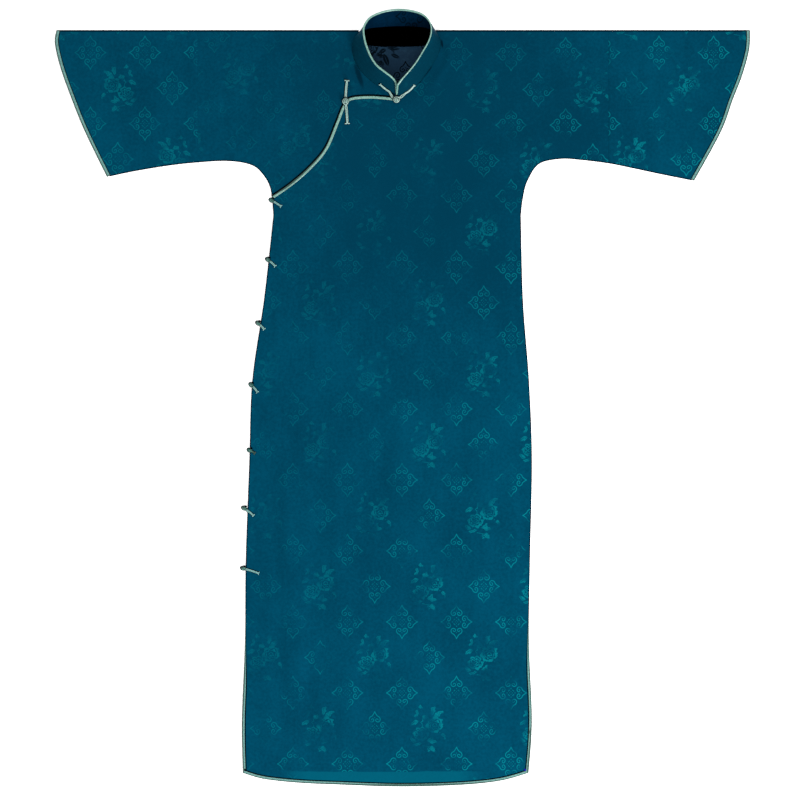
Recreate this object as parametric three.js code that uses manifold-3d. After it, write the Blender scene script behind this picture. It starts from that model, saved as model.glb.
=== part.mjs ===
// A qipao laid flat on its back, front side up. Millimetres, +Z up.
// X runs across the sleeves, Y from the hem to the collar, Z = 0 is the surface that it lies on.
// Left and right are as seen from above: the side opening is on the left.

import * as THREE from 'three';
import { mergeVertices } from 'three/addons/utils/BufferGeometryUtils.js';
import Module from 'manifold-3d';

const wasm = await Module();
wasm.setup();

// Driving dimensions

const WALL = 1.2; // one layer of cloth
const SEAM_GAP = 0.3; // between pieces that are sewn or lie on each other
const SHOULDER_Y = 618; // the fold along the shoulders and the tops of the sleeves
const SLEEVE_JOIN_X = 345; // where the sleeves are sewn to the body
const SLIT_TOP_Y = -365; // the side slits run from here to the hem
const BINDING_WIDTH = 4.2;
const BINDING_THICKNESS = 1.4;
const UNDERLAP = 50; // how far the small front runs on beneath the overlap
const AIR = 1.3; // between front and back, away from the closed edges
const MOST_LIFT = 3.2;
const EDGE_RISE = 45; // the front rises from a closed edge over this distance
const LAYER = WALL + SEAM_GAP;
const NEARBY = 1; // points of an outline that are closer than this count as one

const CENTRE_FRONT_X = -10.8;
const COLLAR_WALL = 2;
const COLLAR_BINDING_RADIUS = 1.45;
const NECK_EDGE_INSIDE = 2; // the fronts reach this far inside the middle of the collar's wall
const NECK_BELOW_SHOULDER = 6; // nearer to the fold than this, the neck is open to the back
const FACING_THICKNESS = 1;
const FACING_DEPTH = 28;
const FACING_LEFT_X = -66;
const FACING_RIGHT_X = 46;
const FACING_SAG = 3;
const FACING_CURVE_STEPS = 4;

const CORD_RADIUS = 0.8;
const CORD_PITCH = 2.3; // between the two cords of a leg
const CORD_END_REACH = 3.4; // half of the cross bar at the end of a leg
const KNOT_RADIUS = 3.7;
const KNOT_HEIGHT = 4.6; // of the knot's middle above the cloth
const LOOP_HEIGHT = 3.3; // of the loop above the cloth
const LOOP_RADIUS = 4.9;

// Cut edges, as short tables

const SIDES = [
  { y: 307, left: -217.6, right: 198 },
  { y: 165, left: -233.5, right: 201.6 },
  { y: 30, left: -253, right: 211.7 },
  { y: -104, left: -258, right: 216.7 },
  { y: -272, left: -264, right: 213.4 },
  { y: -407, left: -265.4, right: 211.7 },
  { y: -541, left: -270.5, right: 216.7 },
  { y: -630, left: -268.8, right: 211 },
];

const HEM = [
  { x: -268.8, y: -630 },
  { x: -233.5, y: -640 },
  { x: -173, y: -646.5 },
  { x: -106, y: -649.5 },
  { x: -5, y: -652.7 },
  { x: 96, y: -650 },
  { x: 163, y: -643 },
  { x: 211, y: -630 },
];

const UNDERARM_LEFT = [
  { x: -497, y: 371 },
  { x: -455, y: 380 },
  { x: -395, y: 390 },
  { x: -345, y: 395.5 },
  { x: -294, y: 398 },
  { x: -254, y: 391 },
  { x: -233.5, y: 373 },
  { x: -222, y: 349 },
  { x: -217.6, y: 307 },
];

const UNDERARM_RIGHT = [
  { x: 489, y: 364.6 },
  { x: 432, y: 376 },
  { x: 390, y: 385 },
  { x: 345, y: 394 },
  { x: 297, y: 400 },
  { x: 264, y: 401.5 },
  { x: 228.5, y: 393 },
  { x: 209, y: 364 },
  { x: 201.6, y: 336 },
  { x: 198, y: 307 },
];

const CUFF_LEFT = [
  { x: -582, y: 618 },
  { x: -584.7, y: 596 },
  { x: -575, y: 554 },
  { x: -556, y: 501 },
  { x: -534, y: 447 },
  { x: -497, y: 371 },
];

const CUFF_RIGHT = [
  { x: 583, y: 618 },
  { x: 581.5, y: 585 },
  { x: 569.5, y: 541 },
  { x: 554, y: 501 },
  { x: 534, y: 447 },
  { x: 489, y: 364.6 },
];

// The edge of the overlap, from the centre front to the side opening
const LAPEL = [
  { x: -11.5, y: 504 },
  { x: -52, y: 507.5 },
  { x: -88, y: 504.5 },
  { x: -101, y: 491 },
  { x: -112, y: 464 },
  { x: -131, y: 420 },
  { x: -158, y: 388 },
  { x: -190, y: 360 },
  { x: -220.3, y: 339 },
];

// The collar, a row for each place round the neck, from the right of the centre front to its left.
// height is the collar's own height there, measured along its slope.
const COLLAR = [
  { baseX: -7.2, baseY: 508.3, topX: -7.2, topY: 525, height: 31 },
  { baseX: 6, baseY: 512, topX: -1.5, topY: 533, height: 37 },
  { baseX: 22, baseY: 524.5, topX: 8.5, topY: 544, height: 40 },
  { baseX: 38, baseY: 545, topX: 21.5, topY: 560, height: 41 },
  { baseX: 52, baseY: 566, topX: 34, topY: 580, height: 42 },
  { baseX: 61, baseY: 583, topX: 44, topY: 598, height: 42 },
  { baseX: 62.5, baseY: 599, topX: 48, topY: 614, height: 42 },
  { baseX: 56, baseY: 611.5, topX: 45.5, topY: 628, height: 42 },
  { baseX: 40, baseY: 616, topX: 35, topY: 640, height: 42 },
  { baseX: 15, baseY: 616.5, topX: 15, topY: 647.4, height: 42 },
  { baseX: -10, baseY: 616.5, topX: -12, topY: 649.45, height: 42 },
  { baseX: -36, baseY: 616.5, topX: -38, topY: 644.4, height: 42 },
  { baseX: -60, baseY: 616, topX: -57, topY: 634.5, height: 42 },
  { baseX: -76, baseY: 610, topX: -66, topY: 619.5, height: 42 },
  { baseX: -84, baseY: 596, topX: -65.5, topY: 603, height: 42 },
  { baseX: -83, baseY: 574, topX: -60.5, topY: 585, height: 42 },
  { baseX: -72, baseY: 552, topX: -52.5, topY: 567.5, height: 42 },
  { baseX: -54, baseY: 533.5, topX: -43.5, topY: 555.5, height: 41 },
  { baseX: -34, baseY: 519.5, topX: -29.5, topY: 544.5, height: 40 },
  { baseX: -21.5, baseY: 512.5, topX: -20, topY: 537, height: 37 },
  { baseX: -14.4, baseY: 508.3, topX: -14.4, topY: 528.5, height: 31 },
];

// The largest soft folds of the front: a ridge or, with a height below 0, a trough.
// angle is in degrees from the Y axis, length and width are half of the fold's reach.
const FOLDS = [
  { x: -188, y: -330, angle: 2, length: 330, width: 17, height: 1.3 },
  { x: -150, y: -390, angle: -1, length: 270, width: 13, height: -1.1 },
  { x: -108, y: -300, angle: 3, length: 340, width: 18, height: 1.2 },
  { x: -60, y: -440, angle: 1, length: 210, width: 15, height: -0.9 },
  { x: -8, y: -250, angle: -2, length: 380, width: 24, height: 0.8 },
  { x: 62, y: -420, angle: 0, length: 240, width: 20, height: -0.7 },
  { x: 132, y: -180, angle: -3, length: 300, width: 22, height: 0.9 },
  { x: 176, y: -420, angle: 1, length: 220, width: 14, height: -0.8 },
  { x: -70, y: 250, angle: 24, length: 160, width: 24, height: 0.8 },
  { x: 60, y: 330, angle: -18, length: 170, width: 26, height: -0.7 },
  { x: 150, y: 380, angle: -38, length: 120, width: 20, height: 0.9 },
  { x: 215, y: 470, angle: -62, length: 120, width: 20, height: -0.7 },
  { x: -190, y: 460, angle: 60, length: 110, width: 20, height: 0.8 },
  { x: 430, y: 480, angle: 78, length: 130, width: 20, height: 0.9 },
  { x: 470, y: 540, angle: 84, length: 100, width: 16, height: -0.8 },
  { x: -430, y: 470, angle: -76, length: 130, width: 20, height: 0.9 },
  { x: -460, y: 535, angle: -85, length: 100, width: 16, height: -0.8 },
];

// Fastenings. Each leg's far end is given from the knot.
const FROGS = [
  { name: 'side_1', knotY: 334, legX: 19, legY: -10 },
  { name: 'side_2', knotY: 234, legX: 15.5, legY: -11 },
  { name: 'side_3', knotY: 128, legX: 14, legY: -10 },
  { name: 'side_4', knotY: 24, legX: 15, legY: -12 },
  { name: 'side_5', knotY: -88, legX: 12, legY: -5 },
  { name: 'side_6', knotY: -183, legX: 19, legY: -12 },
  { name: 'side_7', knotY: -284, legX: 27, legY: -8 },
];
const LAPEL_KNOT = { x: -96.5, y: 498 };
const LAPEL_LEG_UP = { x: 2.5, y: 35 };
const LAPEL_LEG_DOWN = { x: 3, y: -37 };
const COLLAR_KNOT = { x: -10.8, y: 501 };
const COLLAR_KNOT_RAISE = 0.7; // it rides over the end of the overlap's binding
// A collar leg's places, from its far end: round is the distance from the collar's end as a share of
// the whole way round, and rise is the share of the way up.
const COLLAR_LEG = [
  { round: 0.115, rise: 0.21 },
  { round: 0.085, rise: 0.15 },
  { round: 0.055, rise: 0.1 },
];
const COLLAR_LEG_START = { x: 6.2, y: 3.6 }; // on the cloth, from the knot

// Colours and surfaces

const DAMASK = new THREE.MeshStandardMaterial({ color: '#015066', roughness: 0.55, metalness: 0 });
const COLLAR_DAMASK = new THREE.MeshStandardMaterial({ color: '#013c52', roughness: 0.55, metalness: 0 });
const SATIN = new THREE.MeshStandardMaterial({ color: '#7cb0ab', roughness: 0.45, metalness: 0 });
const FACING_CLOTH = new THREE.MeshStandardMaterial({ color: '#060709', roughness: 0.85, metalness: 0 });

// Curves in the plan

/** Points at even steps along a smooth curve through the rows of a table. */
function smooth(rows, steps) {
  const curve = new THREE.SplineCurve(rows.map((row) => new THREE.Vector2(row.x, row.y)));
  return curve.getSpacedPoints(steps);
}

/** One side of the body, from the underarm to the hem's corner. */
function sideEdge(side, steps) {
  return smooth(SIDES.map((row) => ({ x: row[side], y: row.y })), steps);
}

/** Where a path crosses the height y, as an x. */
function crossing(path, y) {
  for (let i = 1; i < path.length; i += 1) {
    const a = path[i - 1];
    const b = path[i];
    if ((a.y - y) * (b.y - y) <= 0 && a.y !== b.y) {
      return a.x + ((b.x - a.x) * (y - a.y)) / (b.y - a.y);
    }
  }
  throw new Error(`the path never reaches ${y}`);
}

const SHARPEST_MITRE = 0.5; // the cosine of half of the sharpest turn that keeps its full mitre

/** The same path moved to its left by a distance, with mitred corners. */
function offset(path, distance) {
  const lefts = path.slice(1).map((point, i) => {
    const ahead = point.clone().sub(path[i]).normalize();
    return new THREE.Vector2(-ahead.y, ahead.x);
  });
  return path.map((point, i) => {
    const before = lefts[Math.max(i - 1, 0)];
    const after = lefts[Math.min(i, lefts.length - 1)];
    const normal = before.clone().add(after).normalize();
    return point.clone().addScaledVector(normal, distance / Math.max(normal.dot(after), SHARPEST_MITRE));
  });
}

/** The shortest distance from a point to a path. */
function distanceTo(path, x, y) {
  const point = new THREE.Vector2(x, y);
  let nearest = Infinity;
  for (let i = 1; i < path.length; i += 1) {
    const along = path[i].clone().sub(path[i - 1]);
    const share = THREE.MathUtils.clamp(
      point.clone().sub(path[i - 1]).dot(along) / along.lengthSq(), 0, 1);
    nearest = Math.min(nearest, path[i - 1].clone().addScaledVector(along, share).distanceTo(point));
  }
  return nearest;
}

const SIDE_STEPS = 20;
const HEM_STEPS = 18;
const UNDERARM_STEPS = 18;
const CUFF_STEPS = 10;
const LAPEL_STEPS = 22;

const leftSide = sideEdge('left', SIDE_STEPS);
const rightSide = sideEdge('right', SIDE_STEPS);
const hem = smooth(HEM, HEM_STEPS);
const underarmLeft = smooth(UNDERARM_LEFT, UNDERARM_STEPS);
const underarmRight = smooth(UNDERARM_RIGHT, UNDERARM_STEPS);
const cuffLeft = smooth(CUFF_LEFT, CUFF_STEPS);
const cuffRight = smooth(CUFF_RIGHT, CUFF_STEPS);
const lapel = smooth(LAPEL, LAPEL_STEPS);
const leftOutline = underarmLeft.concat(leftSide.slice(1));
const rightOutline = underarmRight.concat(rightSide.slice(1));

// The height of the cloth

const closedEdges = [
  [new THREE.Vector2(CUFF_LEFT[0].x, SHOULDER_Y), new THREE.Vector2(CUFF_RIGHT[0].x, SHOULDER_Y)],
  leftOutline,
  rightOutline,
];

/** How far one soft fold raises the cloth. */
function foldHeight(fold, x, y) {
  const turn = THREE.MathUtils.degToRad(fold.angle);
  const dx = x - fold.x;
  const dy = y - fold.y;
  const across = (dx * Math.cos(turn) + dy * Math.sin(turn)) / fold.width;
  const along = (-dx * Math.sin(turn) + dy * Math.cos(turn)) / fold.length;
  const fade = Math.max(0, 1 - along * along);
  return fold.height * Math.exp(-across * across) * fade * fade;
}

/** The air under the front: none at a closed edge, more where a fold stands up. */
function lift(x, y) {
  const edge = Math.min(...closedEdges.map((path) => distanceTo(path, x, y)));
  const rise = THREE.MathUtils.smoothstep(edge, 0, EDGE_RISE);
  const folds = FOLDS.reduce((sum, fold) => sum + foldHeight(fold, x, y), 0);
  return rise * THREE.MathUtils.clamp(AIR + folds, 0, MOST_LIFT);
}

const UNDERLAP_CLEAR = 20; // the big front stays up this far past the small front's edge
const UNDERLAP_SETTLE = 60; // and comes down over this distance

/** The underside of the small front and of the upper layer of each sleeve. */
function lowerLayer(x, y) {
  return LAYER + lift(x, y);
}

/** The underside of the big front, which lies on the small front along the overlap. */
function upperLayer(x, y) {
  const past = distanceTo(lapel, x, y) - UNDERLAP - UNDERLAP_CLEAR;
  return lowerLayer(x, y) + LAYER * (1 - THREE.MathUtils.smoothstep(past, 0, UNDERLAP_SETTLE));
}

const GRID_FINE = 20;
const GRID_COARSE = 62;
const GRID_FINE_FROM_Y = 200;
const GRID_HALF_X = 360;
const GRID_TOP_Y = 630;
const GRID_BOTTOM_Y = -670;

const gridX = [];
for (let x = -GRID_HALF_X; x <= GRID_HALF_X; x += GRID_FINE) gridX.push(x);
const gridY = [];
for (let y = GRID_TOP_Y; y > GRID_FINE_FROM_Y; y -= GRID_FINE) gridY.push(y);
while (gridY[gridY.length - 1] > GRID_BOTTOM_Y) gridY.push(gridY[gridY.length - 1] - GRID_COARSE);

/** A height function sampled on the grid, so that what lies on the cloth finds its facets. */
class Layer {
  constructor(height) {
    this.z = gridY.map((y) => gridX.map((x) => height(x, y)));
  }

  at(x, y) {
    const i = THREE.MathUtils.clamp(Math.floor((x - gridX[0]) / GRID_FINE), 0, gridX.length - 2);
    const j = Math.max(gridY.findIndex((line) => line <= y) - 1, 0);
    const u = (x - gridX[i]) / (gridX[i + 1] - gridX[i]);
    const v = (gridY[j] - y) / (gridY[j] - gridY[j + 1]);
    const z00 = this.z[j][i];
    const z10 = this.z[j][i + 1];
    const z01 = this.z[j + 1][i];
    const z11 = this.z[j + 1][i + 1];
    if (u + v <= 1) return z00 + u * (z10 - z00) + v * (z01 - z00);
    return z11 + (1 - u) * (z01 - z11) + (1 - v) * (z10 - z11);
  }
}

const small = new Layer(lowerLayer);
const big = new Layer(upperLayer);
const smallTop = (x, y) => small.at(x, y) + WALL;
const bigTop = (x, y) => big.at(x, y) + WALL;

// Solids

/** A closed geometry from points and faces. */
function geometryOf(points, faces) {
  const geometry = new THREE.BufferGeometry();
  geometry.setAttribute('position', new THREE.Float32BufferAttribute(points.flat(), 3));
  geometry.setIndex(faces.flat());
  return geometry;
}

/** The same geometry with its faces pointing out. */
function outward(geometry) {
  const { position } = geometry.attributes;
  const index = geometry.index.array;
  const corner = (i) => new THREE.Vector3().fromBufferAttribute(position, index[i]);
  let volume = 0;
  for (let i = 0; i < index.length; i += 3) {
    volume += corner(i).dot(corner(i + 1).cross(corner(i + 2)));
  }
  if (volume < 0) index.reverse();
  return geometry;
}

const SAME_PLACE = 1e-4;

/** The solid of a closed geometry, ready to be joined or cut. */
function solidOf(geometry) {
  const bare = geometry.clone();
  bare.deleteAttribute('normal');
  bare.deleteAttribute('uv');
  const merged = mergeVertices(bare, SAME_PLACE);
  return new wasm.Manifold(new wasm.Mesh({
    numProp: 3,
    vertProperties: new Float32Array(merged.attributes.position.array),
    triVerts: new Uint32Array(merged.index.array),
  }));
}

/** The geometry of a solid. */
function geometryFrom(solid) {
  const mesh = solid.getMesh();
  const geometry = new THREE.BufferGeometry();
  geometry.setAttribute('position', new THREE.BufferAttribute(mesh.vertProperties, 3));
  geometry.setIndex(new THREE.BufferAttribute(mesh.triVerts, 1));
  return geometry;
}

/** Two faces for the four corners of a cell. */
function cell(a, b, c, d) {
  return [[a, b, c], [a, c, d]];
}

/** The whole layer as a wall, over the full grid. */
function slab(layer) {
  const columns = gridX.length;
  const rows = gridY.length;
  const points = [];
  for (const up of [0, WALL]) {
    gridY.forEach((y, j) => gridX.forEach((x, i) => points.push([x, y, layer.z[j][i] + up])));
  }
  const low = (i, j) => j * columns + i;
  const high = (i, j) => rows * columns + low(i, j);
  const faces = [];
  for (let j = 0; j < rows - 1; j += 1) {
    for (let i = 0; i < columns - 1; i += 1) {
      faces.push([high(i, j), high(i, j + 1), high(i + 1, j)]);
      faces.push([high(i + 1, j), high(i, j + 1), high(i + 1, j + 1)]);
      faces.push([low(i, j), low(i + 1, j), low(i, j + 1)]);
      faces.push([low(i + 1, j), low(i + 1, j + 1), low(i, j + 1)]);
    }
  }
  for (let i = 0; i < columns - 1; i += 1) {
    faces.push(...cell(low(i + 1, 0), low(i, 0), high(i, 0), high(i + 1, 0)));
    const end = rows - 1;
    faces.push(...cell(low(i, end), low(i + 1, end), high(i + 1, end), high(i, end)));
  }
  for (let j = 0; j < rows - 1; j += 1) {
    faces.push(...cell(low(0, j), low(0, j + 1), high(0, j + 1), high(0, j)));
    const end = columns - 1;
    faces.push(...cell(low(end, j + 1), low(end, j), high(end, j), high(end, j + 1)));
  }
  return solidOf(geometryOf(points, faces));
}

/** An upright block on an outline, from one height to another. */
function block(outline, from, to) {
  const geometry = new THREE.ExtrudeGeometry(new THREE.Shape(outline), {
    depth: to - from,
    bevelEnabled: false,
    steps: 1,
  });
  return geometry.translate(0, 0, from);
}

const BLOCK_HEIGHT = 20;
const SLIVER = 0.01;

/** A panel cut from a layer along an outline. */
function panel(layer, outline) {
  const cut = slab(layer).intersect(solidOf(block(outline, 0, BLOCK_HEIGHT)));
  return geometryFrom(cut.simplify(SLIVER));
}

/** A wall through rings of points: rings[i][k], each ring closed on itself, open or closed at its ends. */
function ringWall(rings) {
  const count = rings[0].length;
  const points = rings.flat();
  const faces = [];
  for (let i = 0; i < rings.length - 1; i += 1) {
    for (let k = 0; k < count; k += 1) {
      const next = (k + 1) % count;
      faces.push(...cell(i * count + k, i * count + next, (i + 1) * count + next, (i + 1) * count + k));
    }
  }
  return { points, faces, count };
}

/** A solid bar: four-sided sections joined along a path and closed at both ends. */
function bar(sections) {
  const { points, faces, count } = ringWall(sections);
  const last = (sections.length - 1) * count;
  faces.push([0, 2, 1], [0, 3, 2]);
  faces.push([last, last + 1, last + 2], [last, last + 2, last + 3]);
  return outward(geometryOf(points, faces));
}

/** A flat strip inside an edge that runs with the cloth on its left. */
function strip(edge, width, floorAt, thickness) {
  const inner = offset(edge, width);
  return bar(edge.map((out, i) => {
    const z = floorAt(out.x, out.y);
    return [
      [out.x, out.y, z],
      [out.x, out.y, z + thickness],
      [inner[i].x, inner[i].y, z + thickness],
      [inner[i].x, inner[i].y, z],
    ];
  }));
}

// Bound edge of the slits and the hem, from the left slit's top round to the right slit's top

const SLIT_STEPS = 5;

/** The stretch of a side from the slit's top to the hem's corner. */
function slit(side) {
  const corner = side[side.length - 1];
  const points = [];
  for (let i = 0; i <= SLIT_STEPS; i += 1) {
    const y = THREE.MathUtils.lerp(SLIT_TOP_Y, corner.y, i / SLIT_STEPS);
    points.push(new THREE.Vector2(crossing(side, y), y));
  }
  return points;
}

const boundEdge = [...slit(leftSide), ...hem.slice(1, -1), ...slit(rightSide).reverse()];
const clothInBinding = offset(boundEdge, BINDING_WIDTH + SEAM_GAP);

/** One side above its slit, from the underarm downwards. */
function sideAboveSlit(side) {
  return side.filter((point) => point.y > SLIT_TOP_Y + NEARBY);
}

/** The cloth's lower end: down the left slit, along the hem and up the right slit, inside the binding. */
function lowerEdge() {
  const first = boundEdge[0];
  const last = boundEdge[boundEdge.length - 1];
  return [
    new THREE.Vector2(first.x, first.y + SEAM_GAP),
    new THREE.Vector2(clothInBinding[0].x, first.y + SEAM_GAP),
    ...clothInBinding.slice(1, -1),
    new THREE.Vector2(clothInBinding[clothInBinding.length - 1].x, last.y + SEAM_GAP),
    new THREE.Vector2(last.x, last.y + SEAM_GAP),
  ];
}

/** The part of an underarm edge that belongs to the body, from the sleeve join to the side. */
function bodyUnderarm(path) {
  const join = Math.sign(path[0].x) * SLEEVE_JOIN_X;
  const kept = path.filter((point) => Math.abs(point.x) < SLEEVE_JOIN_X - NEARBY);
  const before = path[path.indexOf(kept[0]) - 1];
  const share = (join - before.x) / (kept[0].x - before.x);
  return [before.clone().lerp(kept[0], share), ...kept];
}

// The neckline, inside the collar's base

const collarBase = COLLAR.map((row) => new THREE.Vector2(row.baseX, row.baseY));
const neckline = offset(collarBase, NECK_EDGE_INSIDE);
const atShoulder = neckline.map((point) => point.y > SHOULDER_Y - NECK_BELOW_SHOULDER);
const neckRight = neckline.slice(0, atShoulder.indexOf(true));
const neckLeft = neckline.slice(atShoulder.lastIndexOf(true) + 1);

// Panels

/** The back, flat on the surface from the shoulder fold to the hem. */
function back() {
  const outline = [
    ...bodyUnderarm(underarmLeft),
    ...sideAboveSlit(leftSide).slice(1),
    ...lowerEdge(),
    ...sideAboveSlit(rightSide).slice(1).reverse(),
    ...bodyUnderarm(underarmRight).reverse(),
    new THREE.Vector2(SLEEVE_JOIN_X, SHOULDER_Y),
    new THREE.Vector2(-SLEEVE_JOIN_X, SHOULDER_Y),
  ];
  return block(outline, 0, WALL);
}

/** The big front, from the right shoulder to the side opening on the left. */
function bigFront() {
  const inBinding = offset(lapel, BINDING_WIDTH + SEAM_GAP);
  const opening = sideAboveSlit(leftSide);
  const top = inBinding[inBinding.length - 1];
  const outline = [
    ...inBinding,
    new THREE.Vector2(crossing(underarmLeft, top.y), top.y),
    ...underarmLeft.filter((point) => point.y < top.y - NEARBY),
    ...opening.slice(1),
    ...lowerEdge(),
    ...sideAboveSlit(rightSide).slice(1).reverse(),
    ...bodyUnderarm(underarmRight).reverse(),
    new THREE.Vector2(SLEEVE_JOIN_X, SHOULDER_Y),
    new THREE.Vector2(neckRight[neckRight.length - 1].x, SHOULDER_Y),
    ...neckRight.slice().reverse(),
    new THREE.Vector2(inBinding[0].x + SEAM_GAP, inBinding[0].y),
  ];
  return panel(big, outline);
}

/** The small front: the left shoulder, which runs on beneath the overlap. */
function smallFront() {
  const under = offset(lapel, UNDERLAP);
  const underEnd = under[under.length - 1];
  const outline = [
    ...neckLeft,
    new THREE.Vector2(CENTRE_FRONT_X, neckLeft[neckLeft.length - 1].y),
    new THREE.Vector2(under[0].x, under[0].y),
    ...under.slice(1, -1).filter((point) => point.y > underEnd.y + NEARBY),
    new THREE.Vector2(crossing(leftOutline, underEnd.y), underEnd.y),
    ...bodyUnderarm(underarmLeft).filter((point) => point.y > underEnd.y + NEARBY).reverse(),
    new THREE.Vector2(-SLEEVE_JOIN_X, SHOULDER_Y),
    new THREE.Vector2(neckLeft[0].x, SHOULDER_Y),
  ];
  return panel(small, outline);
}

// Sleeves and cuffs

const SLEEVE_SECTIONS = 8;
const SLEEVE_COLUMNS = 9;
const FOLD_ROUND = 2; // the rounding of a tube's folded edge, in the plan

/** A line of points as a function from 0 to 1. */
function along(path) {
  const curve = path.length > 2 ? new THREE.SplineCurve(path) : new THREE.LineCurve(path[0], path[1]);
  return (share) => curve.getPointAt(share);
}

/** The plan of a tube that lies flat, as a function of s from end to end and t from fold to seam. */
function flatPlan(start, end, above, below) {
  return (s, t) => {
    const point = start(t).multiplyScalar(1 - s).addScaledVector(end(t), s);
    point.addScaledVector(above(s), 1 - t).addScaledVector(below(s), t);
    point.addScaledVector(start(0), -(1 - s) * (1 - t)).addScaledVector(end(0), -s * (1 - t));
    return point.addScaledVector(start(1), -(1 - s) * t).addScaledVector(end(1), -s * t);
  };
}

/** A tube that lies flat: a closed wall round a thin space, open at both ends. */
function flatTube(plan, sections, thickness, swell) {
  const outer = [];
  const inner = [];
  for (let i = 0; i <= sections; i += 1) {
    const s = i / sections;
    const depth = plan(s, 0).distanceTo(plan(s, 1));
    const round = FOLD_ROUND / depth;
    const shares = Array.from({ length: SLEEVE_COLUMNS }, (_, k) => (
      THREE.MathUtils.lerp(round, 1 - round, k / (SLEEVE_COLUMNS - 1))));
    const place = (t, z) => {
      const point = plan(s, t);
      return [point.x, point.y, z(point)];
    };
    const middle = () => (LAYER + WALL) / 2;
    const roof = (up) => (point) => lowerLayer(point.x, point.y) + up;
    const back = shares.slice().reverse();
    outer.push([
      place(0, middle),
      ...shares.map((t) => place(t, () => 0)),
      place(1, middle),
      ...back.map((t) => place(t, roof(thickness + swell))),
    ]);
    inner.push([
      place(thickness / depth, middle),
      ...shares.map((t) => place(t, () => thickness)),
      place(1 - thickness / depth, middle),
      ...back.map((t) => place(t, roof(swell))),
    ]);
  }
  const skin = ringWall(outer);
  const lining = ringWall(inner);
  const { count } = skin;
  const shift = skin.points.length;
  const faces = [...skin.faces, ...lining.faces.map(([a, b, c]) => [a + shift, c + shift, b + shift])];
  for (let k = 0; k < count; k += 1) {
    const next = (k + 1) % count;
    const last = sections * count;
    faces.push(...cell(k, shift + k, shift + next, next));
    faces.push(...cell(last + next, shift + last + next, shift + last + k, last + k));
  }
  return outward(geometryOf([...skin.points, ...lining.points], faces));
}

/** A sleeve, from its join to the body to the binding of its cuff. */
function sleeve(underarm, cuff) {
  const side = Math.sign(cuff[0].x);
  const seam = [...bodyUnderarm(underarm).slice(0, 1), ...underarm.filter((point) => (
    Math.abs(point.x) > SLEEVE_JOIN_X + NEARBY)).reverse()];
  const join = side * (SLEEVE_JOIN_X + SEAM_GAP);
  seam[0] = new THREE.Vector2(join, seam[0].y);
  const end = offset(cuff, -side * (BINDING_WIDTH + SEAM_GAP));
  end[0].y = SHOULDER_Y;
  seam[seam.length - 1] = end[end.length - 1];
  const top = new THREE.Vector2(join, SHOULDER_Y);
  return flatTube(
    flatPlan(along([top, seam[0]]), along(end), along([top, end[0]]), along(seam)),
    SLEEVE_SECTIONS, WALL, 0);
}

/** The binding round a cuff. */
function cuffBinding(cuff) {
  const inner = offset(cuff, -Math.sign(cuff[0].x) * BINDING_WIDTH);
  inner[0].y = SHOULDER_Y;
  const last = cuff.length - 1;
  return flatTube(
    flatPlan(along(inner), along(cuff), along([inner[0], cuff[0]]), along([inner[last], cuff[last]])),
    1, BINDING_THICKNESS, BINDING_THICKNESS - WALL);
}

// Collar

const COLLAR_SECTIONS = 44;
const COLLAR_BINDING_STEP = 6;
const RIM_PLACES = 30; // places that the binding's curve takes from the collar's top
const COLLAR_BINDING_SEAT = 2.2; // from the collar's edge to the middle of the binding
const RIM_SHARE = 0.035; // the share of the way round that each front corner takes
const CORNER_CUT = 0.8; // how squarely the binding turns a front corner
const BINDING_END_RISE = 0.16; // the binding's ends stop this share of the way up, above the knot

/** The height of the cloth's upper face beside the collar. */
function clothTop(x, y) {
  return (x < CENTRE_FRONT_X ? smallTop : bigTop)(x, y);
}

const collarLow = COLLAR.map((row) => (
  new THREE.Vector3(row.baseX, row.baseY, clothTop(row.baseX, row.baseY) + SEAM_GAP)));
const collarHigh = COLLAR.map((row, i) => {
  const run = Math.hypot(row.topX - row.baseX, row.topY - row.baseY);
  return new THREE.Vector3(row.topX, row.topY, collarLow[i].z + Math.sqrt(row.height ** 2 - run ** 2));
});
const collarLowCurve = new THREE.CatmullRomCurve3(collarLow);
const collarHighCurve = new THREE.CatmullRomCurve3(collarHigh);

/** The collar's foot, top, outward normal and upward direction, at a share of the way round it. */
function collarAt(share) {
  const foot = collarLowCurve.getPoint(share);
  const top = collarHighCurve.getPoint(share);
  const up = top.clone().sub(foot).normalize();
  const round = collarLowCurve.getTangent(share).add(collarHighCurve.getTangent(share)).normalize();
  return { foot, top, up, normal: round.cross(up).normalize() };
}

/** The stiff band that stands round the neck. */
function collar() {
  const half = COLLAR_WALL / 2;
  const sections = [];
  for (let i = 0; i <= COLLAR_SECTIONS; i += 1) {
    const { foot, top, normal } = collarAt(i / COLLAR_SECTIONS);
    const level = new THREE.Vector3(normal.x, normal.y, 0).normalize();
    const edge = (place, out, distance) => place.clone().addScaledVector(out, distance);
    const outerFoot = edge(foot, level, half);
    const innerFoot = edge(foot, level, -half);
    outerFoot.z = clothTop(outerFoot.x, outerFoot.y) + SEAM_GAP;
    innerFoot.z = clothTop(innerFoot.x, innerFoot.y) + SEAM_GAP;
    sections.push([outerFoot, edge(top, normal, half), edge(top, normal, -half), innerFoot]
      .map((corner) => corner.toArray()));
  }
  return bar(sections);
}

const CORD_SIDES = 6;

/** A cord's or a piping's round section. */
function roundSection(radius, sides) {
  const corners = Array.from({ length: sides }, (_, i) => {
    const angle = (2 * Math.PI * i) / sides;
    return new THREE.Vector2(radius * Math.cos(angle), radius * Math.sin(angle));
  });
  return new THREE.Shape(corners);
}

/** A tube along a smooth curve through points, in steps of about a given length. */
function cordAlong(points, radius, step) {
  const extrudePath = new THREE.CatmullRomCurve3(points, false, 'centripetal');
  const steps = Math.round(extrudePath.getLength() / step);
  return new THREE.ExtrudeGeometry(roundSection(radius, CORD_SIDES), { steps, extrudePath });
}

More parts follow.
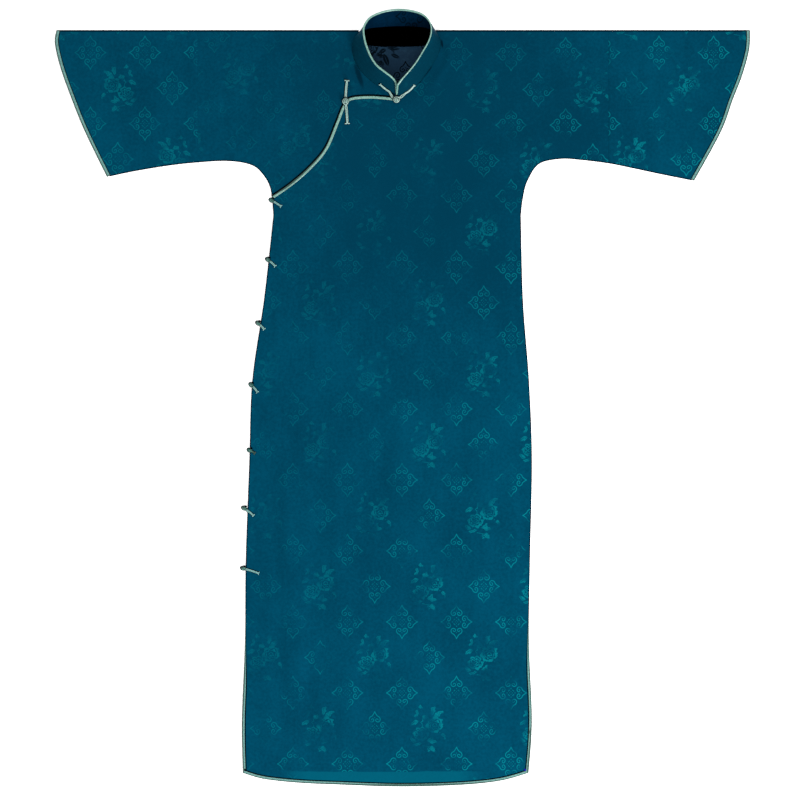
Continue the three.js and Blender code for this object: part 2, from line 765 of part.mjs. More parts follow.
/** The binding of the collar: up one end, round the top and down the other end. */
function collarBinding() {
  const away = COLLAR_BINDING_SEAT;
  const ends = [0, 1].map((share) => {
    const { foot, top, up, normal } = collarAt(share);
    const aside = up.clone().cross(normal).multiplyScalar(share === 0 ? -away : away);
    const corner = top.clone().addScaledVector(up, away * CORNER_CUT).addScaledVector(aside, CORNER_CUT);
    const low = foot.clone().lerp(top, BINDING_END_RISE).add(aside);
    const high = top.clone().addScaledVector(up, -away).add(aside);
    return [low, low.clone().lerp(high, 0.5), high, corner];
  });
  const rim = Array.from({ length: RIM_PLACES + 1 }, (_, i) => {
    const { top, up } = collarAt(THREE.MathUtils.lerp(RIM_SHARE, 1 - RIM_SHARE, i / RIM_PLACES));
    return top.clone().addScaledVector(up, away);
  });
  return cordAlong([...ends[0], ...rim, ...ends[1].reverse()], COLLAR_BINDING_RADIUS, COLLAR_BINDING_STEP);
}

/** The dark facing on the inside of the back, below the neck. */
function neckFacing() {
  const middle = (FACING_LEFT_X + FACING_RIGHT_X) / 2;
  const half = (FACING_RIGHT_X - FACING_LEFT_X) / 2;
  const low = SHOULDER_Y - FACING_DEPTH;
  const outline = new THREE.Shape();
  outline.moveTo(FACING_RIGHT_X, SHOULDER_Y - SEAM_GAP);
  outline.lineTo(FACING_LEFT_X, SHOULDER_Y - SEAM_GAP);
  outline.lineTo(FACING_LEFT_X, low + FACING_SAG);
  outline.quadraticCurveTo(middle - half / 2, low, middle, low);
  outline.quadraticCurveTo(middle + half / 2, low, FACING_RIGHT_X, low + FACING_SAG);
  return new THREE.ExtrudeGeometry(outline, {
    depth: FACING_THICKNESS,
    bevelEnabled: false,
    curveSegments: FACING_CURVE_STEPS,
  }).translate(0, 0, LAYER);
}

// Knotted fastenings

const CORD_STEP = 3.1;
const LEG_PLACES = [1, 0.72, 0.44]; // shares of a leg's length, from its far end
const LEG_NEAREST = LOOP_RADIUS + 2; // to the knot's middle
const LEG_NEAREST_AT_BINDING = LOOP_RADIUS + 5;
const KNOT_SIDES = 8;
const KNOT_RINGS = 6;
const LOOP_ANGLES = [55, 100, 145, 180, 215, 260, 305];
const LOOP_BELOW_KNOT = KNOT_HEIGHT - LOOP_HEIGHT;
const SIDE_KNOT_OUT = 4.4; // of a side knot's middle from the back's edge

/** Both cords of a leg, from its far end to the knot: left cord in, loop, right cord out. */
function doubledCord(places, loop) {
  const count = places.length;
  const pair = places.map(({ point, up }, i) => {
    const from = places[Math.max(i - 1, 0)].point;
    const to = places[Math.min(i + 1, count - 1)].point;
    const side = up.clone().cross(to.clone().sub(from)).normalize();
    const moved = (distance) => point.clone().addScaledVector(side, distance);
    return { left: moved(CORD_PITCH / 2), right: moved(-CORD_PITCH / 2), moved };
  });
  const ends = [pair[0].moved(CORD_END_REACH), pair[0].moved(-CORD_END_REACH)];
  const path = [
    ends[0],
    ...pair.map(({ left }) => left),
    ...loop,
    ...pair.map(({ right }) => right).reverse(),
    ends[1],
  ];
  return cordAlong(path, CORD_RADIUS, CORD_STEP);
}

const LEVEL = new THREE.Vector3(0, 0, 1);
const CORD_LIES = SEAM_GAP + CORD_RADIUS; // a cord's middle above what it lies on

/** Places along a leg that lies on the cloth, from its far end to near the knot. */
function legOnCloth(knot, leg, top, nearest) {
  const reach = Math.hypot(leg.x, leg.y);
  const last = nearest / reach;
  return [...LEG_PLACES.filter((share) => share > last), last].map((share) => {
    const x = knot.x + leg.x * share;
    const y = knot.y + leg.y * share;
    return { point: new THREE.Vector3(x, y, top(x, y) + CORD_LIES), up: LEVEL };
  });
}

/** Places along a leg that lies on the collar's outer face and comes down to the cloth beside the knot. */
function legOnCollar(side) {
  const places = COLLAR_LEG.map(({ round, rise }) => {
    const { foot, top, normal } = collarAt(side > 0 ? round : 1 - round);
    const point = foot.clone().lerp(top, rise).addScaledVector(normal, COLLAR_WALL / 2 + CORD_LIES);
    return { point, up: normal };
  });
  const x = COLLAR_KNOT.x + side * COLLAR_LEG_START.x;
  const y = COLLAR_KNOT.y + COLLAR_LEG_START.y;
  const z = bigTop(x, y) + CORD_LIES + BINDING_THICKNESS - WALL;
  return [...places, { point: new THREE.Vector3(x, y, z), up: LEVEL }];
}

/** The loop round a knot's foot, starting beside the leg that comes from towards. */
function loopRound(middle, towards) {
  const ahead = towards.clone().sub(middle).setZ(0).normalize();
  const aside = new THREE.Vector3(ahead.y, -ahead.x, 0);
  return LOOP_ANGLES.map((degrees) => {
    const angle = THREE.MathUtils.degToRad(degrees);
    return middle.clone()
      .addScaledVector(ahead, LOOP_RADIUS * Math.cos(angle))
      .addScaledVector(aside, LOOP_RADIUS * Math.sin(angle));
  });
}

/** The loop half of a fastening. */
function loopHalf(places, middle) {
  const near = places[places.length - 1].point;
  return doubledCord(places, loopRound(middle, near));
}

/** The button half: the knot and its own leg, joined. */
function knotHalf(places, middle) {
  const near = places[places.length - 1].point;
  const ahead = near.clone().sub(middle).setZ(0).normalize();
  const turn = middle.clone().addScaledVector(ahead, -1).setZ(middle.z - KNOT_RADIUS + CORD_RADIUS);
  const leg = solidOf(doubledCord(places, [turn]));
  return geometryFrom(solidOf(ball(middle)).add(leg));
}

/** The knot itself. */
function ball(middle) {
  const sphere = new THREE.SphereGeometry(KNOT_RADIUS, KNOT_SIDES, KNOT_RINGS);
  return sphere.translate(middle.x, middle.y, middle.z);
}

/** The knot of a side fastening, with the short shank that reaches in to the back's edge. */
function sideKnot(middle, edgeX) {
  const low = WALL;
  const shank = solidOf(cordAlong([
    middle,
    new THREE.Vector3(middle.x, middle.y, low + CORD_RADIUS),
    new THREE.Vector3(middle.x + CORD_RADIUS, middle.y, low),
    new THREE.Vector3(edgeX - SEAM_GAP, middle.y, low),
  ], CORD_RADIUS, CORD_STEP / 2));
  return geometryFrom(solidOf(ball(middle)).add(shank));
}

/** A fastening of the side opening: its loop half and its knot half. */
function sideFrog({ name, knotY, legX, legY }) {
  const edgeX = crossing(leftOutline, knotY);
  const loopZ = bigTop(edgeX, knotY) + CORD_LIES;
  const middle = new THREE.Vector3(edgeX - SIDE_KNOT_OUT, knotY, loopZ);
  const places = legOnCloth(middle, { x: legX, y: legY }, bigTop, LEG_NEAREST);
  const knot = middle.clone().setZ(loopZ + LOOP_BELOW_KNOT);
  return [
    [`frog_${name}_loop`, loopHalf(places, middle)],
    [`frog_${name}_knot`, sideKnot(knot, edgeX)],
  ];
}

/** The fastening at the overlap's corner. */
function lapelFrog() {
  const bed = bigTop(LAPEL_KNOT.x, LAPEL_KNOT.y);
  const middle = new THREE.Vector3(LAPEL_KNOT.x, LAPEL_KNOT.y, bed + LOOP_HEIGHT);
  const knot = middle.clone().setZ(bed + KNOT_HEIGHT);
  const down = legOnCloth(middle, LAPEL_LEG_DOWN, bigTop, LEG_NEAREST_AT_BINDING);
  const up = legOnCloth(middle, LAPEL_LEG_UP, smallTop, LEG_NEAREST);
  return [
    ['frog_lapel_loop', loopHalf(down, middle)],
    ['frog_lapel_knot', knotHalf(up, knot)],
  ];
}

/** The fastening at the foot of the collar. */
function collarFrog() {
  const bed = bigTop(COLLAR_KNOT.x, COLLAR_KNOT.y) + COLLAR_KNOT_RAISE;
  const middle = new THREE.Vector3(COLLAR_KNOT.x, COLLAR_KNOT.y, bed + LOOP_HEIGHT);
  const knot = middle.clone().setZ(bed + KNOT_HEIGHT);
  return [
    ['frog_collar_loop', loopHalf(legOnCollar(1), middle)],
    ['frog_collar_knot', knotHalf(legOnCollar(-1), knot)],
  ];
}

// The garment

const garment = new THREE.Group();
const onBig = (x, y) => big.at(x, y);
const onSurface = () => 0;

/** Adds one named piece to the garment. */
function piece(name, geometry, material) {
  const mesh = new THREE.Mesh(geometry, material);
  mesh.name = name;
  garment.add(mesh);
}

piece('back_body', back(), DAMASK);
piece('front_body', bigFront(), DAMASK);
piece('under_front', smallFront(), DAMASK);
piece('sleeve_left', sleeve(underarmLeft, cuffLeft), DAMASK);
piece('sleeve_right', sleeve(underarmRight, cuffRight), DAMASK);
piece('neck_facing', neckFacing(), FACING_CLOTH);
piece('collar', collar(), COLLAR_DAMASK);
piece('collar_binding', collarBinding(), SATIN);
piece('lapel_binding', strip(lapel, BINDING_WIDTH, onBig, BINDING_THICKNESS), SATIN);
piece('cuff_binding_left', cuffBinding(cuffLeft), SATIN);
piece('cuff_binding_right', cuffBinding(cuffRight), SATIN);
piece('hem_binding_front', strip(boundEdge, BINDING_WIDTH, onBig, BINDING_THICKNESS), SATIN);
piece('hem_binding_back', strip(boundEdge, BINDING_WIDTH, onSurface, WALL), SATIN);
[...FROGS.flatMap(sideFrog), ...lapelFrog(), ...collarFrog()].forEach(([name, geometry]) => {
  piece(name, geometry, SATIN);
});

export default garment;
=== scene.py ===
import functools
import logging
import math
from dataclasses import dataclass, field
from enum import Enum
from typing import Callable, ClassVar, Optional, Sequence

import bpy
import numpy as np
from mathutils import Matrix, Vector
from mathutils.geometry import delaunay_2d_cdt
from mathutils.kdtree import KDTree


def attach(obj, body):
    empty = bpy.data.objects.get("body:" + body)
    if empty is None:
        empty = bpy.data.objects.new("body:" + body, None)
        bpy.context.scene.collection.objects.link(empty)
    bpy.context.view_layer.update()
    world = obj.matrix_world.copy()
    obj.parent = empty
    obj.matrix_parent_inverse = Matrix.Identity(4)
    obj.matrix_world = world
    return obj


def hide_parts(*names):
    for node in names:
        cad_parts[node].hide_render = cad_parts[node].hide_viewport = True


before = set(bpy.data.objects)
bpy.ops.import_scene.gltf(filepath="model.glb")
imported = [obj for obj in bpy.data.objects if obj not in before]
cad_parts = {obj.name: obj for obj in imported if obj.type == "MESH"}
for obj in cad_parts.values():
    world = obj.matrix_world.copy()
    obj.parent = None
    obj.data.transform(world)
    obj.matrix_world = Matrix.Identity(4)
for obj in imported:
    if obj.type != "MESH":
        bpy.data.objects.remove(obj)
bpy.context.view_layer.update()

# A qipao laid flat on its back, front side up. Shapes are worked out in millimetres, in the packed
# model's frame: X across the sleeves, Y from the hem to the collar, Z up from the surface that it lies on.

log = logging.getLogger("qipao")

MM = 0.001
WALL = 1.2
SEAM_GAP = 0.3
LAYER = WALL + SEAM_GAP
SHOULDER_Y = 618.0
SLEEVE_JOIN_X = 345.0
SLIT_TOP_Y = -365.0
BINDING_WIDTH = 4.2
UNDERLAP = 50.0
CENTRE_FRONT_X = -10.8
SHADED_SHARE = 0.33
LINE_SOFT = 0.22
HEM_BAND_TOP = -627.3
FIGURE_COLUMN = 45.8
FIGURE_DROP = 59.6
EXPOSURE = 2.1
THREAD_RELIEF = 0.0002
CORD_THREADS = 1400.0
CORD_SIDES = 8
BODY = "root"

Path = np.ndarray
HeightAt = Callable[[np.ndarray, np.ndarray], np.ndarray]
Colour = tuple[float, float, float]
Material = bpy.types.Material
Piece = bpy.types.Object
Socket = bpy.types.NodeSocket

# Colours as they look under the studio's light, from 0 to 255

GROUND: Colour = (1, 82, 110)
DARK_GROUND: Colour = (1, 64, 89)
FIGURE: Colour = (6, 132, 146)
TURNED_HEM: Colour = (2, 104, 127)
# Painted shade: the dark along the shoulder fold and in the bottoms of the deep creases
PAINTED_SHADE: Colour = (1, 14, 30)
BLACK: Colour = (0, 0, 0)

# Cut edges: the same tables as the solids

SIDES = [
    (307, -217.6, 198), (165, -233.5, 201.6), (30, -253, 211.7), (-104, -258, 216.7),
    (-272, -264, 213.4), (-407, -265.4, 211.7), (-541, -270.5, 216.7), (-630, -268.8, 211),
]
HEM = [
    (-268.8, -630), (-233.5, -640), (-173, -646.5), (-106, -649.5),
    (-5, -652.7), (96, -650), (163, -643), (211, -630),
]
UNDERARM_LEFT = [
    (-497, 371), (-455, 380), (-395, 390), (-345, 395.5), (-294, 398),
    (-254, 391), (-233.5, 373), (-222, 349), (-217.6, 307),
]
UNDERARM_RIGHT = [
    (489, 364.6), (432, 376), (390, 385), (345, 394), (297, 400),
    (264, 401.5), (228.5, 393), (209, 364), (201.6, 336), (198, 307),
]
CUFF_LEFT = [(-582, 618), (-584.7, 596), (-575, 554), (-556, 501), (-534, 447), (-497, 371)]
CUFF_RIGHT = [(583, 618), (581.5, 585), (569.5, 541), (554, 501), (534, 447), (489, 364.6)]
LAPEL = [
    (-11.5, 504), (-52, 507.5), (-88, 504.5), (-101, 491), (-112, 464),
    (-131, 420), (-158, 388), (-190, 360), (-220.3, 339),
]

# The collar round the neck: base x, base y, top x, top y and the collar's own height
COLLAR = [
    (-7.2, 508.3, -7.2, 525, 31), (6, 512, -1.5, 533, 37), (22, 524.5, 8.5, 544, 40),
    (38, 545, 21.5, 560, 41), (52, 566, 34, 580, 42), (61, 583, 44, 598, 42),
    (62.5, 599, 48, 614, 42), (56, 611.5, 45.5, 628, 42), (40, 616, 35, 640, 42),
    (15, 616.5, 15, 647.4, 42), (-10, 616.5, -12, 649.45, 42), (-36, 616.5, -38, 644.4, 42),
    (-60, 616, -57, 634.5, 42), (-76, 610, -66, 619.5, 42), (-84, 596, -65.5, 603, 42),
    (-83, 574, -60.5, 585, 42), (-72, 552, -52.5, 567.5, 42), (-54, 533.5, -43.5, 555.5, 41),
    (-34, 519.5, -29.5, 544.5, 40), (-21.5, 512.5, -20, 537, 37), (-14.4, 508.3, -14.4, 528.5, 31),
]

# How much of a binding is turned from the light: the distance along it and the share of its width. The slit
# and hem binding runs from the left slit's top round to the right one's
HEM_SHADED = (
    (0, 0.9), (60, 0.7), (130, 0.55), (200, 0.46), (262, 0.44), (268, 0.32), (400, 0.46), (480, 0.62),
    (515, 0.85), (560, 0.85), (600, 0.76), (690, 0.42), (746, 0.32), (750, 0.66), (812, 0.6), (818, 0.93),
    (826, 0.45), (900, 0.42), (960, 0.5), (1015, 0.85),
)
LAPEL_SHADED = ((0, 0.2), (150, 0.2), (215, 0.42), (262, 0.55), (290, 0.3))

# Thread tacks at the skirt's corners: x, y and the place of the finish
CORNER_TACKS = ((-265.2, -624.8, 2), (205.2, -624.6, 3))

# The painted shade in the bottoms of the deep creases by the collar: x, y, angle, half length, half width and
# depth of tone
NECK_CREASE_SHADES = ((-74.5, 543, -71, 27, 5.5, 0.62), (65.5, 595, -82, 9, 2.6, 0.75),
                (27.5, 531.5, 50, 8, 3.0, 0.85), (40, 546, 50, 19, 2.0, 0.6), (-93, 530, -66, 24, 5.0, 0.2))

# Leaves that show inside the back of the neck: x, y, angle, half length and half width
REVERSE_LEAVES = ((-12.9, 574.4, -23, 9, 3.4), (-28.4, 568.2, -69, 12, 4.6), (-16, 587, -5, 12, 3.0),
                  (-34, 583, 30, 7, 4.0))


# Curves


def even(path: Path, step: float) -> Path:
    """Places a path's points at even steps.

    Args:
        path: Points of any dimension, one row each.
        step: About how far apart the new points are.

    Returns:
        The points, with both ends kept.
    """
    count = max(1, round(float(run_of(path)[-1]) / step))
    return at_shares(path, np.linspace(0, 1, count + 1))


def at_shares(path: Path, shares: np.ndarray) -> Path:
    """Finds points of a path.

    Args:
        path: Points of any dimension, one row each.
        shares: Shares of the path's length, from 0 to 1.

    Returns:
        One point for each share.
    """
    run = run_of(path)
    return np.stack([np.interp(shares * run[-1], run, path[:, i]) for i in range(path.shape[1])], axis=1)


def through(rows: Sequence[Sequence[float]], fine: int = 24, centripetal: bool = False) -> Path:
    """Draws a smooth curve through points.

    Args:
        rows: The points that it passes through.
        fine: New points between two rows.
        centripetal: Whether uneven gaps between the rows are allowed for.

    Returns:
        The curve's points.
    """
    p = np.array(rows, dtype=float)
    first, last = (2 * p[0] - p[1], 2 * p[-1] - p[-2]) if centripetal else (p[0], p[-1])
    q = np.vstack([first, p, last])
    t = np.linspace(0, 1, fine, endpoint=False)[:, None]
    parts = []
    for i in range(1, len(q) - 2):
        a, b, c, d = q[i - 1], q[i], q[i + 1], q[i + 2]
        if centripetal:
            g0, g1, g2 = (math.sqrt(float(np.linalg.norm(v - u))) for u, v in ((a, b), (b, c), (c, d)))
            start = g1 * ((b - a) / g0 - (c - a) / (g0 + g1) + (c - b) / g1)
            end = g1 * ((c - b) / g1 - (d - b) / (g1 + g2) + (d - c) / g2)
        else:
            start, end = (c - a) / 2, (d - b) / 2
        parts.append(
            (2 * t**3 - 3 * t**2 + 1) * b + (t**3 - 2 * t**2 + t) * start
            + (3 * t**2 - 2 * t**3) * c + (t**3 - t**2) * end
        )
    return np.vstack([*parts, p[-1:]])


def run_of(path: Path) -> np.ndarray:
    """Gives how far along a path each of its points is."""
    return np.concatenate([[0.0], np.cumsum(np.linalg.norm(np.diff(path, axis=0), axis=1))])


def offset(path: Path, distance: float | np.ndarray) -> Path:
    """Moves a plan path to its left, with mitred corners.

    Args:
        path: The path's points in the plan.
        distance: How far it moves, the same everywhere or one for each point.

    Returns:
        The moved points.
    """
    ahead = np.diff(path, axis=0)
    ahead /= np.linalg.norm(ahead, axis=1)[:, None]
    left = np.stack([-ahead[:, 1], ahead[:, 0]], axis=1)
    before, after = np.vstack([left[:1], left]), np.vstack([left, left[-1:]])
    normal = before + after
    normal /= np.linalg.norm(normal, axis=1)[:, None]
    mitre = np.maximum((normal * after).sum(axis=1), 0.5)
    return path + normal * (distance / mitre)[:, None]


def crossing(path: Path, y: float) -> float:
    """Finds where a plan path crosses a height.

    Args:
        path: The path's points in the plan.
        y: The height in the plan.

    Returns:
        The x of the first crossing.
    """
    for a, b in zip(path[:-1], path[1:]):
        if (a[1] - y) * (b[1] - y) <= 0 and a[1] != b[1]:
            return float(a[0] + (b[0] - a[0]) * (y - a[1]) / (b[1] - a[1]))
    raise ValueError(f"the path never reaches {y}")


def distance_to(path: Path, x: np.ndarray, y: np.ndarray) -> np.ndarray:
    """Finds how far points of the plan are from a path.

    Args:
        path: The path's points.
        x: The points' x.
        y: The points' y.

    Returns:
        The shortest distance of each point.
    """
    nearest = np.full(np.shape(x), np.inf)
    for a, b in zip(path[:-1], path[1:]):
        along = b - a
        share = ((x - a[0]) * along[0] + (y - a[1]) * along[1]) / max(float(along @ along), 1e-9)
        share = np.clip(share, 0, 1)
        nearest = np.minimum(nearest, np.hypot(x - a[0] - share * along[0], y - a[1] - share * along[1]))
    return nearest


def twice_area(outline: Path) -> float:
    """Gives twice the area inside a plan outline, above 0 where it runs anticlockwise."""
    x, y = outline[:, 0], outline[:, 1]
    return float((x * np.roll(y, -1) - y * np.roll(x, -1)).sum())


def smoothstep(value: np.ndarray, start: float, end: float) -> np.ndarray:
    """Rises smoothly from 0 at start to 1 at end."""
    share = np.clip((value - start) / (end - start), 0, 1)
    return share * share * (3 - 2 * share)


# The plan of the cut


@dataclass
class Plan:
    """The garment's edges in the plan, as fine curves."""

    step: float = 3.0
    binding_least: float = 0.16
    left_side: Path = field(init=False)
    right_side: Path = field(init=False)
    hem: Path = field(init=False)
    underarm_left: Path = field(init=False)
    underarm_right: Path = field(init=False)
    cuff_left: Path = field(init=False)
    cuff_right: Path = field(init=False)
    lapel: Path = field(init=False)

    def __post_init__(self) -> None:
        """Draws each edge from its table."""
        self.left_side = self.edge([(left, y) for y, left, _ in SIDES])
        self.right_side = self.edge([(right, y) for y, _, right in SIDES])
        self.hem, self.lapel = self.edge(HEM), self.edge(LAPEL)
        self.underarm_left, self.underarm_right = self.edge(UNDERARM_LEFT), self.edge(UNDERARM_RIGHT)
        self.cuff_left, self.cuff_right = self.edge(CUFF_LEFT), self.edge(CUFF_RIGHT)

    def edge(self, table: Sequence[tuple[float, float]]) -> Path:
        """Draws a smooth edge through a table's places."""
        return even(through(table), self.step)

    def left_outline(self) -> Path:
        """Gives the left edge from the cuff's corner to the hem."""
        return np.vstack([self.underarm_left, self.left_side[1:]])

    def right_outline(self) -> Path:
        """Gives the right edge from the cuff's corner to the hem."""
        return np.vstack([self.underarm_right, self.right_side[1:]])

    def bound_edge(self) -> Path:
        """Gives the edge that is bound: down the left slit, along the hem and up the right slit."""
        left = self.left_side[self.left_side[:, 1] < SLIT_TOP_Y]
        right = self.right_side[self.right_side[:, 1] < SLIT_TOP_Y][::-1]
        return np.vstack([
            [crossing(self.left_side, SLIT_TOP_Y), SLIT_TOP_Y],
            left, self.hem[1:-1], right,
            [crossing(self.right_side, SLIT_TOP_Y), SLIT_TOP_Y],
        ])

    def binding_share(self) -> np.ndarray:
        """Gives the share of the binding's width that shows at each point of the bound edge."""
        run = run_of(self.bound_edge())
        left, right = smoothstep(run, 20, 135), smoothstep(run[-1] - run, -10, 110)
        return self.binding_least + (1 - self.binding_least) * np.minimum(left, right)

    def body_underarm(self, path: Path) -> Path:
        """Gives the body's part of an underarm edge, from the sleeve join to the side."""
        kept = np.abs(path[:, 0]) < SLEEVE_JOIN_X - 1
        first = int(np.argmax(kept))
        join = math.copysign(SLEEVE_JOIN_X, path[0, 0])
        a, b = path[first - 1], path[first]
        return np.vstack([a + (b - a) * (join - a[0]) / (b[0] - a[0]), path[kept]])


PLAN = Plan()


# The cloth's height


@dataclass(frozen=True)
class Crease:
    """One soft ridge or, with a height below 0, trough. Its angle is in degrees from the Y axis."""

    x: float
    y: float
    angle: float
    length: float
    width: float
    height: float

    def at(self, x: np.ndarray, y: np.ndarray) -> np.ndarray:
        """Gives how far it raises the cloth at points of the plan."""
        turn = math.radians(self.angle)
        dx, dy = x - self.x, y - self.y
        across = (dx * math.cos(turn) + dy * math.sin(turn)) / self.width
        along = (-dx * math.sin(turn) + dy * math.cos(turn)) / self.length
        return self.height * np.exp(-across * across) * np.maximum(0, 1 - along * along) ** 2


MAIN_CREASES = [
    Crease(*row) for row in [
        (-188, -330, 2, 330, 17, 1.3), (-150, -390, -1, 270, 13, -1.1), (-108, -300, 3, 340, 18, 1.2),
        (-60, -440, 1, 210, 15, -0.9), (-8, -250, -2, 380, 24, 0.8), (62, -420, 0, 240, 20, -0.7),
        (132, -180, -3, 300, 22, 0.9), (176, -420, 1, 220, 14, -0.8), (-70, 250, 24, 160, 24, 0.8),
        (60, 330, -18, 170, 26, -0.7), (150, 380, -38, 120, 20, 0.9), (215, 470, -62, 120, 20, -0.7),
        (-190, 460, 60, 110, 20, 0.8), (430, 480, 78, 130, 20, 0.9), (470, 540, 84, 100, 16, -0.8),
        (-430, 470, -76, 130, 20, 0.9), (-460, 535, -85, 100, 16, -0.8),
    ]
]

FINE_CREASES = [
    Crease(*row) for row in [
        (-214, -240, 1, 250, 8, -0.5), (-172, -470, -2, 140, 7, 0.5), (-130, -180, 2, 190, 9, -0.45),
        (-84, -500, 0, 120, 8, 0.5), (-36, -90, 4, 150, 11, -0.4), (24, -330, -3, 190, 10, 0.4),
        (92, -520, 2, 110, 9, 0.45), (150, -40, -4, 160, 10, -0.4), (190, -300, 0, 210, 7, 0.4),
        (-150, 90, 12, 130, 12, 0.45), (-96, 330, 30, 100, 11, -0.5), (24, 180, -8, 150, 14, 0.4),
        (120, 210, -14, 130, 12, -0.45), (176, 330, -28, 90, 9, 0.5), (190, 250, -12, 120, 8, -0.4),
        (-172, 330, 40, 70, 8, 0.45), (-200, 290, 14, 80, 7, -0.4), (84, 470, -34, 90, 12, 0.4),
        (270, 520, -70, 90, 10, 0.45), (330, 450, -80, 110, 10, -0.4), (380, 560, 86, 90, 9, 0.4),
        (520, 470, 66, 70, 9, 0.4), (-270, 520, 72, 90, 10, 0.45), (-330, 450, 80, 110, 10, -0.4),
        (-390, 560, -86, 90, 9, 0.4), (-520, 480, -66, 70, 9, 0.4), (-74, 542, 19, 38, 6, -1.3),
        (-88, 540, 21, 44, 7, 1.2), (-104, 552, 24, 40, 7, -0.9), (68, 584, -3, 34, 5, -1.1),
        (78, 580, -6, 36, 6, 0.7), (74, 548, -34, 34, 5, -0.8), (58, 536, -38, 30, 5, 0.8),
        (70, 548, -40, 34, 8, 0.5), (30, 500, -60, 40, 9, 0.4), (-40, 470, 70, 50, 10, 0.4),
        (-236, 388, 48, 26, 5, 0.5), (226, 386, -48, 26, 5, 0.5), (214, 350, -20, 40, 6, -0.4),
    ]
]


@dataclass
class ClothForm:
    """How high each layer of the garment lies."""

    air: float = 1.3
    edge_rise: float = 45.0
    fine_rise: float = 8.0
    depth: float = 1.5
    stiffness: float = 2.4
    ripple: float = 0.12
    underlap_clear: float = 20.0
    underlap_settle: float = 60.0

    def lift(self, x: np.ndarray, y: np.ndarray) -> np.ndarray:
        """Finds the air under the front.

        Args:
            x: The points' x.
            y: The points' y.

        Returns:
            None at a closed edge, and more where a crease stands up.
        """
        fold = np.array([[CUFF_LEFT[0][0], SHOULDER_Y], [CUFF_RIGHT[0][0], SHOULDER_Y]])
        sides = (fold, PLAN.left_outline()[::4], PLAN.right_outline()[::4])
        edge = np.min([distance_to(path, x, y) for path in sides], axis=0)
        main, fine = (sum(crease.at(x, y) for crease in kind) for kind in (MAIN_CREASES, FINE_CREASES))
        ripple = self.ripple * np.sin(x / 11.3 + 1.7 * np.sin(y / 57))
        ripple = ripple * np.sin(y / 23.7 + 1.3 * np.sin(x / 41))
        stands = self.depth * main + self.depth * fine + ripple
        soft = np.logaddexp(0, self.stiffness * (self.air + stands)) / self.stiffness
        rise = smoothstep(edge, 0, self.edge_rise)
        near = smoothstep(edge, 0, self.fine_rise)
        return rise * soft + (near - rise) * np.maximum(0, self.depth * fine) * 0.5

    def lower(self, x: np.ndarray, y: np.ndarray) -> np.ndarray:
        """Gives the underside of the small front and of a sleeve's upper layer."""
        return LAYER + self.lift(x, y)

    def upper(self, x: np.ndarray, y: np.ndarray) -> np.ndarray:
        """Gives the underside of the big front, which lies on the small front along the overlap."""
        past = distance_to(PLAN.lapel[::3], x, y) - UNDERLAP - self.underlap_clear
        return self.lower(x, y) + LAYER * (1 - smoothstep(past, 0, self.underlap_settle))

    def flat(self, x: np.ndarray, y: np.ndarray) -> np.ndarray:
        """Gives the surface that the garment lies on."""
        return np.zeros(np.shape(x))


FORM = ClothForm()


# Meshes


@dataclass
class Skin:
    """Points and faces in millimetres, with each face's place in its piece's list of finishes."""

    points: np.ndarray
    faces: list[tuple[int, ...]]
    finishes: list[int]

    @staticmethod
    def joined(skins: Sequence["Skin"]) -> "Skin":
        """Puts several skins in one."""
        points, faces, finishes, shift = [], [], [], 0
        for skin in skins:
            points.append(skin.points)
            faces += [tuple(i + shift for i in face) for face in skin.faces]
            finishes += skin.finishes
            shift += len(skin.points)
        return Skin(np.vstack(points), faces, finishes)

    def normals(self) -> np.ndarray:
        """Averages the faces' normals at each point, larger faces first."""
        total = np.zeros_like(self.points)
        for size in (3, 4):
            index = np.array([face for face in self.faces if len(face) == size])
            if not len(index):
                continue
            corner = self.points[index]
            cross = np.cross(corner[:, -1] - corner[:, 1], corner[:, 0] - corner[:, 2])
            if size == 3:
                cross = np.cross(corner[:, 1] - corner[:, 0], corner[:, 2] - corner[:, 0])
            for k in range(size):
                np.add.at(total, index[:, k], cross)
        return total / np.maximum(np.linalg.norm(total, axis=1), 1e-12)[:, None]

    def volume(self) -> float:
        """Gives six times the volume that the faces point out of."""
        fans = [(face[0], face[i], face[i + 1]) for face in self.faces for i in range(1, len(face) - 1)]
        a, b, c = (self.points[corner] for corner in np.array(fans).T)
        return float((a * np.cross(b, c)).sum())

    def facing_out(self) -> "Skin":
        """Gives this closed skin with its faces turned outward."""
        if self.volume() < 0:
            self.faces = [face[::-1] for face in self.faces]
        return self

    def piece(self, name: str, slot: str, materials: Sequence[Material],
              replaces: Sequence[str]) -> Piece:
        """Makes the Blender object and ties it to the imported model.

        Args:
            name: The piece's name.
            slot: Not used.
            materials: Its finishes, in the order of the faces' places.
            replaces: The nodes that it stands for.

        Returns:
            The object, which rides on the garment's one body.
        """
        mesh = bpy.data.meshes.new(name)
        mesh.from_pydata((self.points * MM).tolist(), [], self.faces)
        for material in materials:
            mesh.materials.append(material)
        mesh.polygons.foreach_set("material_index", self.finishes)
        mesh.polygons.foreach_set("use_smooth", [True] * len(self.faces))
        mesh.update()
        mesh.normals_split_custom_set_from_vertices(self.normals().tolist())
        made = bpy.data.objects.new(name, mesh)
        bpy.context.scene.collection.objects.link(made)
        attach(made, BODY)
        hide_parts(*replaces)
        log.info("%s: %d faces", name, len(self.faces))
        return made


class Edge(Enum):
    """How an edge of a panel ends. The value is how far inside it the panel's flat part stops."""

    FOLD = 2.2
    SEAM = 1.7
    CUT = 1.1
    JOIN = 0.1


